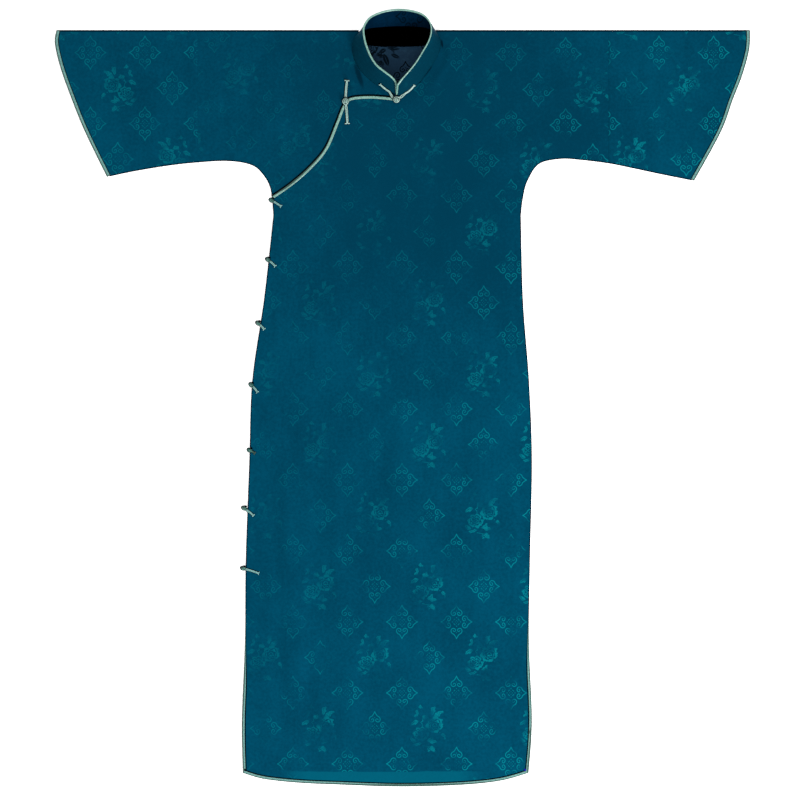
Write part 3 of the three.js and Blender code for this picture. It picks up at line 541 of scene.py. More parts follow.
@dataclass
class Panel:
    """One cut panel of cloth: a wall on a height, along an outline made of stretches."""

    bottom: HeightAt
    stretches: list[tuple[Path, Edge]]
    thickness: float = WALL
    grid: float = 4.1
    edge_step: float = 3.0
    rows: int = 8
    clear_of_rim: float = 0.55
    straight: float = 0.985

    def outline(self) -> tuple[Path, list[Edge]]:
        """Joins the stretches.

        Returns:
            The outline's points, each with the kind of edge that starts there.
        """
        points, kinds = [], []
        for path, kind in self.stretches:
            fine = even(np.asarray(path, dtype=float), self.edge_step)
            points.append(fine[:-1])
            kinds += [kind] * (len(fine) - 1)
        joined = np.vstack(points)
        ahead = np.roll(joined, -1, axis=0) - joined
        kept = np.linalg.norm(ahead, axis=1) > 0.05
        return joined[kept], [kind for kind, keep in zip(kinds, kept) if keep]

    def area(self) -> float:
        """Gives the cut's flat area in square metres."""
        return abs(twice_area(self.outline()[0])) / 2 * MM * MM

    def size(self) -> tuple[float, float]:
        """Gives the cut's width and length in metres."""
        points, _ = self.outline()
        spread = (points.max(axis=0) - points.min(axis=0)) * MM
        return float(spread[0]), float(spread[1])

    def inset(self, points: Path, kinds: list[Edge]) -> Path:
        """Moves the outline inside by what each edge's rounding takes.

        Args:
            points: The outline.
            kinds: The kind of edge at each point.

        Returns:
            The moved points.
        """
        turn = math.copysign(1.0, twice_area(points))
        ahead = np.roll(points, -1, axis=0) - points
        ahead /= np.linalg.norm(ahead, axis=1)[:, None]
        normal = turn * np.stack([-ahead[:, 1], ahead[:, 0]], axis=1)
        reach = np.array([kind.value for kind in kinds])
        before, behind = np.roll(normal, 1, axis=0), np.roll(reach, 1)
        cosine = (normal * before).sum(axis=1)
        flat = np.abs(cosine) > self.straight
        mean = (normal + before) / np.linalg.norm(normal + before, axis=1)[:, None]
        plain = mean * ((reach + behind) / 2)[:, None]
        sine_sq = np.maximum(1 - cosine**2, 0.03)
        corner = (normal * ((reach - behind * cosine) / sine_sq)[:, None]
                  + before * ((behind - reach * cosine) / sine_sq)[:, None])
        return points + np.where(flat[:, None], plain, corner)

    def skin(self, face: int = 0, back: int = 1, rim_place: int = 2) -> Skin:
        """Makes the closed shell.

        Args:
            face: The place of the upper side's finish.
            back: The place of the underside's finish.
            rim_place: The place of the rounded rim's finish; on the cloth panels it is painted shade.

        Returns:
            Upper side, underside and a rounded rim.
        """
        rim, kinds = self.outline()
        ring = self.inset(rim, kinds)
        count = len(ring)
        low, high = ring.min(axis=0), ring.max(axis=0)
        xs = np.arange(low[0] + self.grid / 2, high[0], self.grid)
        ys = np.arange(low[1] + self.grid / 2, high[1], self.grid)
        field_x, field_y = (side.ravel() for side in np.meshgrid(xs, ys))
        tree = KDTree(count)
        for i, place in enumerate(ring):
            tree.insert((place[0], place[1], 0), i)
        tree.balance()
        clear = self.clear_of_rim * self.grid
        inner = [(x, y) for x, y in zip(field_x, field_y) if tree.find((x, y, 0))[2] > clear]
        places = [Vector(place) for place in ring.tolist()] + [Vector(place) for place in inner]
        found, _, cells, origin, _, _ = delaunay_2d_cdt(places, [], [list(range(count))], 1, 1e-6)
        plan = np.array([tuple(place) for place in found])
        used = sorted({i for cell in cells for i in cell})
        renumber = {old: new for new, old in enumerate(used)}
        plan = plan[used]
        cells = [tuple(renumber[i] for i in cell) for cell in cells]
        first = {}
        for new, old in enumerate(used):
            for source in origin[old]:
                first.setdefault(source, new)
        edge = [first[i] for i in range(count)]
        floor = self.bottom(plan[:, 0], plan[:, 1])
        size = len(plan)
        upper = np.column_stack([plan, floor + self.thickness])
        under = np.column_stack([plan, floor])
        bands = self.bands(rim, ring, kinds, floor[edge])
        points = np.vstack([upper, under, *bands])
        faces = list(cells)
        faces += [tuple(size + i for i in reversed(cell)) for cell in cells]
        finishes = [face] * len(cells) + [back] * len(cells)
        lines = [edge] + [[2 * size + k * count + j for j in range(count)] for k in range(len(bands))]
        lines.append([size + i for i in edge])
        to_left = twice_area(ring) > 0
        for above, below in zip(lines[:-1], lines[1:]):
            for j in range(count):
                after = (j + 1) % count
                quad = (above[j], below[j], below[after], above[after])
                faces.append(quad if to_left else quad[::-1])
                finishes.append(face if kinds[j] is Edge.JOIN else rim_place)
        return Skin(points, faces, finishes)

    def bands(self, rim: Path, ring: Path, kinds: list[Edge], floor: np.ndarray) -> list[np.ndarray]:
        """Rounds the rim between the upper side and the underside.

        Args:
            rim: The outline.
            ring: The outline moved inside.
            kinds: The kind of edge at each point.
            floor: The underside's height at each point.

        Returns:
            Rings of points, from the upper side down.
        """
        fold = np.array([kind is Edge.FOLD for kind in kinds])
        out = rim - ring
        bands = []
        for k in range(1, self.rows):
            turn = math.pi * k / self.rows
            wrap = math.pi * min(k / (self.rows - 1), 1)
            reach = np.where(fold, math.sin(wrap), math.sin(turn))
            plain = floor + self.thickness * (1 + math.cos(turn)) / 2
            folded = (floor + self.thickness) * (1 + math.cos(wrap)) / 2
            if k == self.rows - 1:
                folded = np.zeros(len(floor))
            height = np.where(fold, folded, plain)
            bands.append(np.column_stack([ring + out * reach[:, None], height]))
        return bands


def sweep(path: Path, side: np.ndarray, up: np.ndarray, section: Sequence[tuple[float, float]],
          closed: bool = False, finish: int = 0) -> Skin:
    """Carries a section along a path.

    Args:
        path: The path's points in space.
        side: The direction of the section's first number at each point.
        up: The direction of its second number.
        section: The section's corners, in order.
        closed: Whether the path ends where it starts.
        finish: The place of the finish.

    Returns:
        A skin with plain ends, or none where it is closed.
    """
    count, corners = len(path), len(section)
    across, above = (np.array(half)[None, :, None] for half in zip(*section))
    rings = path[:, None, :] + side[:, None, :] * across + up[:, None, :] * above
    faces: list[tuple[int, ...]] = []
    for i in range(count if closed else count - 1):
        j = (i + 1) % count
        for k in range(corners):
            m = (k + 1) % corners
            faces.append((i * corners + k, i * corners + m, j * corners + m, j * corners + k))
    points = rings.reshape(-1, 3)
    if not closed:
        ends = rings.mean(axis=1)[[0, -1]]
        start, stop, last = len(points), len(points) + 1, (count - 1) * corners
        points = np.vstack([points, ends])
        for k in range(corners):
            m = (k + 1) % corners
            faces.append((start, m, k))
            faces.append((stop, last + k, last + m))
    return Skin(points, faces, [finish] * len(faces)).facing_out()


def filled_ball(middle: np.ndarray, reach: tuple[float, float, float], finish: int, rows: int = 7,
                sides: int = 12) -> Skin:
    """Makes a closed ball, longer or flatter along each axis by its reach.

    Args:
        middle: Its middle.
        reach: Its three half sizes.
        finish: The place of the finish.
        rows: Rows of faces from pole to pole.
        sides: Faces round it.

    Returns:
        The ball.
    """
    points = [(0.0, 0.0, 1.0)]
    for i in range(1, rows):
        high = math.pi * i / rows
        for k in range(sides):
            turn = 2 * math.pi * k / sides
            points.append((math.sin(high) * math.cos(turn), math.sin(high) * math.sin(turn), math.cos(high)))
    points.append((0.0, 0.0, -1.0))
    faces: list[tuple[int, ...]] = []
    last = len(points) - 1
    for k in range(sides):
        m = (k + 1) % sides
        faces.append((0, 1 + k, 1 + m))
        faces.append((last, last - sides + m, last - sides + k))
        for i in range(rows - 2):
            a = 1 + i * sides
            faces.append((a + k, a + sides + k, a + sides + m, a + m))
    return Skin(np.array(points) * reach + middle, faces, [finish] * len(faces))


def turning_frames(path: Path, up: np.ndarray) -> tuple[np.ndarray, np.ndarray]:
    """Gives directions across a path.

    Args:
        path: The path's points in space.
        up: The direction that is roughly up at each point.

    Returns:
        The sideways and upward directions, square to the path.
    """
    ahead = np.gradient(path, axis=0)
    ahead /= np.maximum(np.linalg.norm(ahead, axis=1), 1e-9)[:, None]
    side = np.cross(up, ahead)
    side /= np.maximum(np.linalg.norm(side, axis=1), 1e-9)[:, None]
    return side, np.cross(ahead, side)


def round_section(wide: float, high: float, sides: int) -> list[tuple[float, float]]:
    """Gives the corners of an oval section from its two half sizes."""
    turns = [2 * math.pi * k / sides for k in range(sides)]
    return [(wide * math.cos(turn), high * math.sin(turn)) for turn in turns]


def tube(path: Path, radius: float) -> Skin:
    """Makes a round cord with frames that don't twist.

    Args:
        path: The cord's middle line in space.
        radius: Its radius.

    Returns:
        The cord with plain ends.
    """
    ahead = np.gradient(path, axis=0)
    ahead /= np.maximum(np.linalg.norm(ahead, axis=1), 1e-9)[:, None]
    side = np.zeros_like(path)
    start = np.cross(ahead[0], (0.0, 0.0, 1.0))
    if np.linalg.norm(start) < 1e-3:
        start = np.cross(ahead[0], (1.0, 0.0, 0.0))
    side[0] = start / np.linalg.norm(start)
    for i in range(1, len(path)):
        moved = side[i - 1] - ahead[i] * float(side[i - 1] @ ahead[i])
        side[i] = moved / max(float(np.linalg.norm(moved)), 1e-9)
    return sweep(path, side, np.cross(ahead, side), round_section(radius, radius, CORD_SIDES))


# Shader nodes


class Wiring:
    """Adds nodes to a tree and joins them."""

    def __init__(self, tree: bpy.types.NodeTree) -> None:
        """Takes the tree to fill."""
        self.tree = tree

    def node(self, kind: str, **settings: object) -> bpy.types.Node:
        """Adds a node with some of its settings."""
        made = self.tree.nodes.new(kind)
        for name, value in settings.items():
            setattr(made, name, value)
        return made

    def feed(self, socket: Socket, source: object) -> None:
        """Joins a socket to another one, or sets its value."""
        if isinstance(source, Socket):
            self.tree.links.new(source, socket)
        elif source is not None:
            socket.default_value = source

    def filled(self, made: bpy.types.Node, sources: Sequence[object], output: object = 0) -> Socket:
        """Feeds a node's inputs in order, and gives one of its outputs."""
        for socket, source in zip(made.inputs, sources):
            self.feed(socket, source)
        return made.outputs[output]

    def math(self, operation: str, *sources: object) -> Socket:
        """Works out a number with a Math node."""
        return self.filled(self.node("ShaderNodeMath", operation=operation), sources)

    def add(self, first: object, second: object) -> Socket:
        """Adds two numbers."""
        return self.math("ADD", first, second)

    def minus(self, first: object, second: object) -> Socket:
        """Takes the second number from the first."""
        return self.math("SUBTRACT", first, second)

    def times(self, first: object, second: object) -> Socket:
        """Multiplies two numbers."""
        return self.math("MULTIPLY", first, second)

    def over(self, first: object, second: object) -> Socket:
        """Divides the first number by the second."""
        return self.math("DIVIDE", first, second)

    def size(self, source: object) -> Socket:
        """Gives a number without its sign."""
        return self.math("ABSOLUTE", source)

    def length(self, x: object, y: object) -> Socket:
        """Gives how long a step of x and y is."""
        return self.math("SQRT", self.add(self.times(x, x), self.times(y, y)))

    def vector(self, operation: str, *sources: object) -> Socket:
        """Works out a vector."""
        return self.filled(self.node("ShaderNodeVectorMath", operation=operation), sources, "Vector")

    def split(self, source: Socket) -> tuple[Socket, Socket]:
        """Gives a vector's x and y."""
        made = self.node("ShaderNodeSeparateXYZ")
        return self.filled(made, [source]), made.outputs[1]

    def combine(self, x: object, y: object) -> Socket:
        """Makes a vector of two numbers."""
        return self.filled(self.node("ShaderNodeCombineXYZ"), (x, y, 0.0))

    def ramp(self, source: object, start: object, end: object, low: object = 0.0,
             high: object = 1.0) -> Socket:
        """Carries a number smoothly from one range to another."""
        made = self.node("ShaderNodeMapRange", interpolation_type="SMOOTHSTEP")
        return self.filled(made, (source, start, end, low, high))

    def largest(self, sources: Sequence[Socket]) -> Socket:
        """Joins masks: wherever one is set."""
        return functools.reduce(lambda one, other: self.math("MAXIMUM", one, other), sources)

    def blend(self, share: object, first: object, second: object) -> Socket:
        """Mixes two colours."""
        made = self.node("ShaderNodeMix", data_type="RGBA")
        for name, source in ((0, share), (6, first), (7, second)):
            self.feed(made.inputs[name], source)
        return made.outputs[2]

    def noise(self, place: Socket, scale: object, detail: float = 2.0, roughness: float = 0.5,
              output: str = "Fac") -> Socket:
        """Gives uneven values from 0 to 1."""
        made = self.node("ShaderNodeTexNoise")
        for name, source in (("Vector", place), ("Scale", scale), ("Detail", detail),
                             ("Roughness", roughness)):
            self.feed(made.inputs[name], source)
        return made.outputs[output]

    def use(self, group: bpy.types.NodeTree, **sources: object) -> Socket:
        """Places a group, with its inputs named with underscores for spaces, and gives its first output."""
        made = self.node("ShaderNodeGroup", node_tree=group)
        for name, source in sources.items():
            self.feed(made.inputs[name.replace("_", " ")], source)
        return made.outputs[0]


class Group:
    """A shader node group with named inputs and one output, drawn round a figure's own middle."""

    def __init__(self, name: str, output: str, **inputs: object) -> None:
        """Makes the empty group.

        Args:
            name: The group's name.
            output: The output's name.
            inputs: Each input's value, or None for a vector, with underscores for spaces in its name.
        """
        self.tree = bpy.data.node_groups.new(name, "ShaderNodeTree")
        for label, value in inputs.items():
            kind = "NodeSocketVector" if value is None else "NodeSocketFloat"
            socket = self.tree.interface.new_socket(label.replace("_", " "), in_out="INPUT", socket_type=kind)
            if value is not None:
                socket.default_value = value
        self.tree.interface.new_socket(output, in_out="OUTPUT", socket_type="NodeSocketFloat")
        self.wiring = Wiring(self.tree)
        self.given = self.wiring.node("NodeGroupInput").outputs
        self.result = self.wiring.node("NodeGroupOutput").inputs[0]

    def from_middle(self) -> tuple[Socket, Socket]:
        """Gives x and y from the figure's middle."""
        x, y = self.wiring.split(self.given["Place"])
        return self.wiring.minus(x, self.given["X"]), self.wiring.minus(y, self.given["Y"])

    def turned(self) -> tuple[Socket, Socket]:
        """Gives the steps from the middle along and across a figure that is turned.

        Returns:
            The step along the figure and the step across it.
        """
        w = self.wiring
        dx, dy = self.from_middle()
        cosine, sine = w.math("COSINE", self.given["Turn"]), w.math("SINE", self.given["Turn"])
        return w.add(w.times(dx, cosine), w.times(dy, sine)), w.minus(w.times(dy, cosine), w.times(dx, sine))

    def done(self, mask: Socket) -> bpy.types.NodeTree:
        """Puts out the mask, and gives the finished group."""
        self.wiring.feed(self.result, mask)
        return self.tree


def line_mask(w: Wiring, distance: object, half: object) -> Socket:
    """Marks where a distance from a line is less than half of its width, with a soft edge."""
    return w.ramp(w.size(distance), w.add(half, LINE_SOFT), w.minus(half, LINE_SOFT))


class Figures:
    """The groups that draw the silk's woven figures, in millimetres round a figure's middle.

    Hooks and stems are arcs: x, y, radius, first and last angle, half width. Seeds are dots: x, y, radius.
    Blossoms: x, y, radius, petals, turn. Leaves: x, y, angle, half length, half width.
    """

    HOOKS: ClassVar = [(38.0, 23.0, 25.0, 225, 248, 0.8), (15.3, 4.5, 5.2, 8, 60, 0.75),
                       (15.1, 5.7, 4.3, 38, 252, 0.75), (13.8, 3.9, 2.3, 250, 455, 0.6)]
    SEEDS: ClassVar = [(27.4, 0, 1.1), (18.2, 0, 0.7), (7.2, 0, 0.8), (4.6, 3.2, 0.75), (2.2, 0, 0.6)]
    BLOSSOMS: ClassVar = [(9, 6, 14.5, 7, 0.3), (-14, -9, 12.5, 6, 1.1), (-6, 20, 5, 4, 0.4),
                          (4, -35, 6, 3, 0.9)]
    LEAVES: ClassVar = [(-17, 37, -28, 8.5, 3.6), (-21, 25, 82, 6.5, 2.8), (-25, 10, 30, 9, 3.4),
                        (6, 29, 72, 9, 3.4), (16, 25, 24, 10, 3.4), (2, -18, 40, 7.5, 3.6),
                        (6, -22, -8, 7.5, 3.0), (-19, -26, 14, 10, 2.6), (-27, -20, -42, 7, 2.6),
                        (24, -12, -70, 6.5, 2.6)]
    STEMS: ClassVar = [(14, 10, 26, 150, 200, 0.45), (-32, 2, 32, -40, -6, 0.45),
                       (-8, -52, 22, 50, 100, 0.45)]

    def __init__(self) -> None:
        """Builds each group once."""
        self.arc, self.dot, self.blossom = self.make_arc(), self.make_dot(), self.make_blossom()
        self.leaf, self.hollow = self.make_leaf(), self.make_crease_shade()
        self.lozenge, self.spray = self.make_lozenge(), self.make_spray()
        self.damask, self.thread, self.tone = self.make_damask(), self.make_thread(), self.make_tone()

    def make_arc(self) -> bpy.types.NodeTree:
        """Makes a thin line along part of a circle."""
        group = Group("Arc line", "Mask", Place=None, X=0.0, Y=0.0, Radius=5.0, From=0.0, Span=2 * math.pi,
                      Half_width=0.6)
        w, given = group.wiring, group.given
        dx, dy = group.from_middle()
        line = line_mask(w, w.minus(w.length(dx, dy), given["Radius"]), given["Half width"])
        turn = w.math("FLOORED_MODULO", w.minus(w.math("ARCTAN2", dy, dx), given["From"]), 2 * math.pi)
        return group.done(w.times(line, w.math("LESS_THAN", turn, given["Span"])))

    def make_dot(self) -> bpy.types.NodeTree:
        """Makes a filled dot."""
        group = Group("Dot", "Mask", Place=None, X=0.0, Y=0.0, Radius=1.0)
        away = group.wiring.length(*group.from_middle())
        return group.done(line_mask(group.wiring, away, group.given["Radius"]))

    def make_blossom(self) -> bpy.types.NodeTree:
        """Makes an open blossom: a ring of filled petals round two scalloped lines."""
        group = Group("Blossom", "Mask", Place=None, X=0.0, Y=0.0, Radius=13.0, Petals=6.0, Turn=0.0)
        w, radius = group.wiring, group.given["Radius"]
        dx, dy = group.from_middle()
        away = w.length(dx, dy)
        turn = w.add(w.math("ARCTAN2", dy, dx), group.given["Turn"])
        pace = w.times(group.given["Petals"], 0.5)
        lobe = w.size(w.math("COSINE", w.times(turn, pace)))
        bulge = w.math("POWER", lobe, 0.6)
        rim = w.times(radius, w.math("MULTIPLY_ADD", bulge, 0.2, 0.82))
        inner = w.times(radius, w.math("MULTIPLY_ADD", bulge, 0.1, 0.56))
        ring = w.times(w.ramp(w.minus(rim, away), 0.1, 0.7), w.ramp(w.minus(away, inner), 0.5, 1.1))
        masks = [w.times(w.times(ring, w.ramp(w.times(lobe, away), 1.0, 1.8)), 0.8)]
        for share, depth, shift in ((0.42, 0.14, 0.52), (0.17, 0.08, 0.2)):
            lobes = w.math("POWER", w.size(w.math("COSINE", w.times(w.add(turn, shift), pace))), 0.6)
            reach = w.times(radius, w.math("MULTIPLY_ADD", lobes, depth, share))
            masks.append(line_mask(w, w.minus(away, reach), 0.6))
        return group.done(w.largest(masks))

    def make_leaf(self) -> bpy.types.NodeTree:
        """Makes a filled pointed leaf with a plain midrib."""
        group = Group("Leaf", "Mask", Place=None, X=0.0, Y=0.0, Turn=0.0, Length=9.0, Width=4.0)
        w = group.wiring
        along, across = group.turned()
        share, beside = w.over(along, group.given["Length"]), w.size(across)
        half = w.times(group.given["Width"], w.math("MAXIMUM", w.minus(1.0, w.times(share, share)), 0.0))
        filled = w.times(w.ramp(w.minus(half, beside), 0.0, 0.6), w.ramp(beside, 0.1, 0.5))
        return group.done(w.times(w.times(w.math("LESS_THAN", w.size(share), 1.0), 0.85), filled))

    def make_crease_shade(self) -> bpy.types.NodeTree:
        """Makes the soft painted shade that lies in the bottom of a deep crease."""
        group = Group("Crease shade, painted", "Mask", Place=None, X=0.0, Y=0.0, Turn=0.0, Length=9.0, Width=4.0)
        w = group.wiring
        along, across = group.turned()
        along, across = w.over(along, group.given["Length"]), w.over(across, group.given["Width"])
        return group.done(w.ramp(w.add(w.times(along, along), w.times(across, across)), 1.0, 0.1))

    def arcs(self, w: Wiring, place: Socket, rows: Sequence[tuple[float, ...]]) -> list[Socket]:
        """Places arcs from a table of x, y, radius, first angle, last angle and half width."""
        return [w.use(self.arc, Place=place, X=x, Y=y, Radius=radius, From=math.radians(start),
                      Span=math.radians(stop - start), Half_width=half)
                for x, y, radius, start, stop, half in rows]

    def turned_marks(self, w: Wiring, kind: bpy.types.NodeTree, place: Socket,
                     rows: Sequence[tuple[float, ...]]) -> list[Socket]:
        """Places leaves or painted crease shades from a table of x, y, angle, length and width."""
        return [w.use(kind, Place=place, X=x, Y=y, Turn=math.radians(turn), Length=length, Width=width)
                for x, y, turn, length, width in rows]

    def make_lozenge(self) -> bpy.types.NodeTree:
        """Makes the lozenge of four pointed scroll lobes: an eighth of it, folded round its middle."""
        group = Group("Scroll lozenge", "Mask", Place=None)
        w = group.wiring
        x, y = w.split(group.given["Place"])
        a, b = w.size(w.times(x, 1.08)), w.size(y)
        place = w.combine(w.math("MAXIMUM", a, b), w.math("MINIMUM", a, b))
        masks = self.arcs(w, place, self.HOOKS)
        masks += [w.use(self.dot, Place=place, X=x, Y=y, Radius=radius) for x, y, radius in self.SEEDS]
        return group.done(w.largest(masks))

    def make_spray(self) -> bpy.types.NodeTree:
        """Makes a spray of two open blossoms and two buds, with stems and leaves."""
        group = Group("Blossom spray", "Mask", Place=None)
        w, given = group.wiring, group.given["Place"]
        bent = w.vector("SUBTRACT", w.noise(given, 0.17, 1.0, output="Color"), (0.5, 0.5, 0.5))
        place = w.vector("ADD", given, w.vector("MULTIPLY", bent, (9.0, 9.0, 0.0)))
        masks = [w.use(self.blossom, Place=place, X=x, Y=y, Radius=radius, Petals=petals, Turn=turn)
                 for x, y, radius, petals, turn in self.BLOSSOMS]
        masks += self.turned_marks(w, self.leaf, place, self.LEAVES)
        return group.done(w.largest(masks + self.arcs(w, place, self.STEMS)))

    def make_damask(self) -> bpy.types.NodeTree:
        """Spreads the figures over the cloth in half-drop columns.

        Returns:
            A group whose Figure output is 1 on the woven figures. Across is 1, or -1 where the cloth is
            turned over, and Start is the middle of one lozenge.
        """
        group = Group("Damask figures", "Figure", Place=None, Across=1.0, Start_X=0.0, Start_Y=0.0)
        w, given = group.wiring, group.given
        x, y = w.split(given["Place"])
        x = w.minus(w.times(w.times(x, given["Across"]), 1 / MM), given["Start X"])
        y = w.minus(w.over(y, MM), given["Start Y"])
        half_x, half_y = FIGURE_COLUMN, FIGURE_DROP
        even_x, even_y = w.math("WRAP", x, half_x, -half_x), w.math("WRAP", y, half_y, -half_y)
        reach = w.add(w.over(w.size(even_x), half_x), w.over(w.size(even_y), half_y))
        in_even = w.math("LESS_THAN", reach, 1.0)
        shift_x, shift_y = w.minus(x, half_x), w.minus(y, half_y)
        odd_x, odd_y = w.math("WRAP", shift_x, half_x, -half_x), w.math("WRAP", shift_y, half_y, -half_y)
        column = w.math("ROUND", w.over(shift_x, 2 * half_x))
        row = w.math("ROUND", w.over(shift_y, 2 * half_y))
        parity = w.math("PINGPONG", w.add(column, row), 1.0)
        spray_here = w.times(w.math("GREATER_THAN", parity, 0.5), w.minus(1.0, in_even))
        place = w.combine(w.add(odd_x, w.times(in_even, w.minus(even_x, odd_x))),
                          w.add(odd_y, w.times(in_even, w.minus(even_y, odd_y))))
        lozenge, spray = w.use(self.lozenge, Place=place), w.use(self.spray, Place=place)
        return group.done(w.add(w.times(spray, spray_here), w.times(lozenge, w.minus(1.0, spray_here))))

    def make_thread(self) -> bpy.types.NodeTree:
        """Makes the fine face of silk, long floats and slubs, as a height."""
        group = Group("Silk threads", "Height", Place=None, Threads=1600.0, Stretch=6.0)
        w, given = group.wiring, group.given
        x, y = w.split(given["Place"])
        floats = w.noise(w.combine(x, w.over(y, given["Stretch"])), given["Threads"], 1.0)
        slub = w.noise(w.combine(w.times(x, 6.0), y), 42.0, 3.0)
        return group.done(w.add(w.times(floats, 0.6), w.times(slub, 0.4)))

    def make_tone(self) -> bpy.types.NodeTree:
        """Makes the soft uneven tone of worn silk."""
        group = Group("Silk tone", "Tone", Place=None)
        w, place = group.wiring, group.given["Place"]
        x, y = w.split(place)
        cloud, grain = w.noise(place, 8.0, 4.0, 0.6), w.noise(place, 210.0, 2.0, 0.6)
        streak = w.noise(w.combine(w.times(x, 9.0), y), 5.0, 3.0, 0.6)
        return group.done(w.add(w.add(w.times(cloud, 0.45), w.times(streak, 0.15)), w.times(grain, 0.4)))


# Finishes


def fresh_material(name: str) -> tuple[Material, Wiring, bpy.types.Node]:
    """Makes a material with a Principled shader.

    Args:
        name: The material's name.

    Returns:
        The material, its wiring and the shader.
    """
    material = bpy.data.materials.new(name)
    material.use_nodes = True
    tree = material.node_tree
    tree.nodes.clear()
    wiring = Wiring(tree)
    shader = wiring.node("ShaderNodeBsdfPrincipled")
    output = wiring.node("ShaderNodeOutputMaterial")
    wiring.feed(output.inputs["Surface"], shader.outputs["BSDF"])
    return material, wiring, shader


def raise_threads(w: Wiring, shader: bpy.types.Node, height: Socket, strength: float) -> None:
    """Gives a shader the fine relief of silk."""
    bump = w.node("ShaderNodeBump")
    bump.inputs["Strength"].default_value = strength
    bump.inputs["Distance"].default_value = THREAD_RELIEF
    w.feed(bump.inputs["Height"], height)
    w.feed(shader.inputs["Normal"], bump.outputs["Normal"])


def opaque(colour: Colour) -> tuple[float, float, float, float]:
    """Turns a colour from 0 to 255, as it looks under the studio's light, into the shader's own numbers."""
    parts = [part / 255 for part in colour]
    plain = [part / 12.92 if part <= 0.04045 else ((part + 0.055) / 1.055) ** 2.4 for part in parts]
    return (*[part / EXPOSURE for part in plain], 1.0)


@dataclass(frozen=True)
class DamaskFinish:
    """A figured silk: a satin ground with its figures in the same tone, painted sheen on the figures towards
    the lower right, and painted shade round the chest, along the shoulder fold and in deep creases.
    """

    name: str
    ground: Colour
    dark: Colour
    figure: Colour
    across: float = 1.0
    start: tuple[float, float] = (-1.7, -18.5)
    strength: float = 1.0
    faint: float = 0.26
    shine: float = 0.04
    gloss: float = 0.64
    hem: Optional[Colour] = None
    # Whether painted shade is laid along the shoulder fold and in the deep creases
    folded: bool = True
    leaves: tuple[tuple[float, ...], ...] = ()
    crease_shades: tuple[tuple[float, ...], ...] = ()

    # The middle of the painted shade round the chest, in metres
    CHEST: ClassVar = (0.05, 0.42)
    HEM_MIDDLE: ClassVar = -0.035
    # The band where the painted shade along the shoulder fold sets in, in metres
    FOLD: ClassVar = ((SHOULDER_Y - 3.5) * MM, (SHOULDER_Y - 2.3) * MM)
    TINT: ClassVar = (0.0, 0.35, 0.5, 1.0)

    def make(self, figures: Figures) -> Material:
        """Builds the material.

        Args:
            figures: The shared node groups.

        Returns:
            The finished material.
        """
        material, w, shader = fresh_material(self.name)
        place = w.node("ShaderNodeTexCoord").outputs["Object"]
        in_mm = w.vector("SCALE", place, None, None, 1 / MM)
        figure = w.use(figures.damask, Place=place, Across=self.across, Start_X=self.start[0],
                       Start_Y=self.start[1])
        figure = w.largest([figure, *figures.turned_marks(w, figures.leaf, in_mm, self.leaves)])
        x, y = w.split(place)
        tone = w.use(figures.tone, Place=place)
        # Painted shade: the ground darkens round the chest
        from_chest = w.length(w.minus(x, self.CHEST[0]), w.minus(y, self.CHEST[1]))
        tone = w.minus(tone, w.ramp(from_chest, 0.42, 0.08, 0.0, 0.16))
        base = w.blend(w.ramp(tone, 0.3, 0.7), opaque(self.dark), opaque(self.ground))
        coloured = w.blend(self.shown(w, place, figure), base, opaque(self.figure))
        if self.hem is not None:
            coloured = self.turned_hem(w, place, base, coloured)
        # Painted shade: a dark line along the shoulder fold, where the cloth turns from the light, and dark
        # tone in the bottoms of the deep creases
        if self.folded:
            fold = [w.ramp(y, *self.FOLD, 0.0, 0.85)]
            marks = figures.turned_marks(w, figures.hollow, in_mm, [row[:5] for row in self.crease_shades])
            fold += [w.times(mark, row[5]) for mark, row in zip(marks, self.crease_shades)]
            coloured = w.blend(w.largest(fold), coloured, opaque(PAINTED_SHADE))
        w.feed(shader.inputs["Base Color"], coloured)
        w.feed(shader.inputs["Roughness"], w.math("MULTIPLY_ADD", figure, -0.1, self.gloss))
        thread = w.use(figures.thread, Place=place)
        raise_threads(w, shader, w.math("MULTIPLY_ADD", figure, 0.5, thread), 0.35)
        shader.inputs["Specular IOR Level"].default_value = self.shine
        shader.inputs["Specular Tint"].default_value = self.TINT
        return material

    def shown(self, w: Wiring, place: Socket, figure: Socket) -> Socket:
        """Gives how strongly the figures show: in uneven patches, and most at the lower right as painted
        sheen where the light falls.

        Args:
            w: The material's wiring.
            place: The place on the garment.
            figure: The woven figures.

        Returns:
            The mask of their colour.
        """
        x, y = w.split(place)
        # Painted sheen: the figures show most towards the lower right, where the light catches them
        lit = w.ramp(w.add(w.times(x, 0.9), w.times(y, -0.35)), -0.15, 0.3)
        lit = w.math("MULTIPLY_ADD", lit, 1 - self.faint, self.faint)
        patchy = w.ramp(w.noise(place, 27.0, 2.0, 0.6), 0.4, 0.6, self.faint**2, 1.0)
        return w.times(figure, w.times(w.times(lit, patchy), self.strength))

    def turned_hem(self, w: Wiring, place: Socket, base: Socket, coloured: Socket) -> Socket:
        """Lightens the band where the hem is turned up behind, which hides the figures.

        Args:
            w: The material's wiring.
            place: The place on the garment.
            base: The ground's colour.
            coloured: The cloth's colour.

        Returns:
            The colour with the band.
        """
        x, y = w.split(place)
        top = w.math("MULTIPLY_ADD", w.noise(place, 20.0), 0.004, HEM_BAND_TOP * MM - 0.002)
        across = w.ramp(w.size(w.minus(x, self.HEM_MIDDLE)), 0.18, 0.12)
        band = w.ramp(y, w.add(top, 0.0008), w.minus(top, 0.0008), 0.0, across)
        return w.blend(band, coloured, w.blend(0.62, base, opaque(self.hem)))


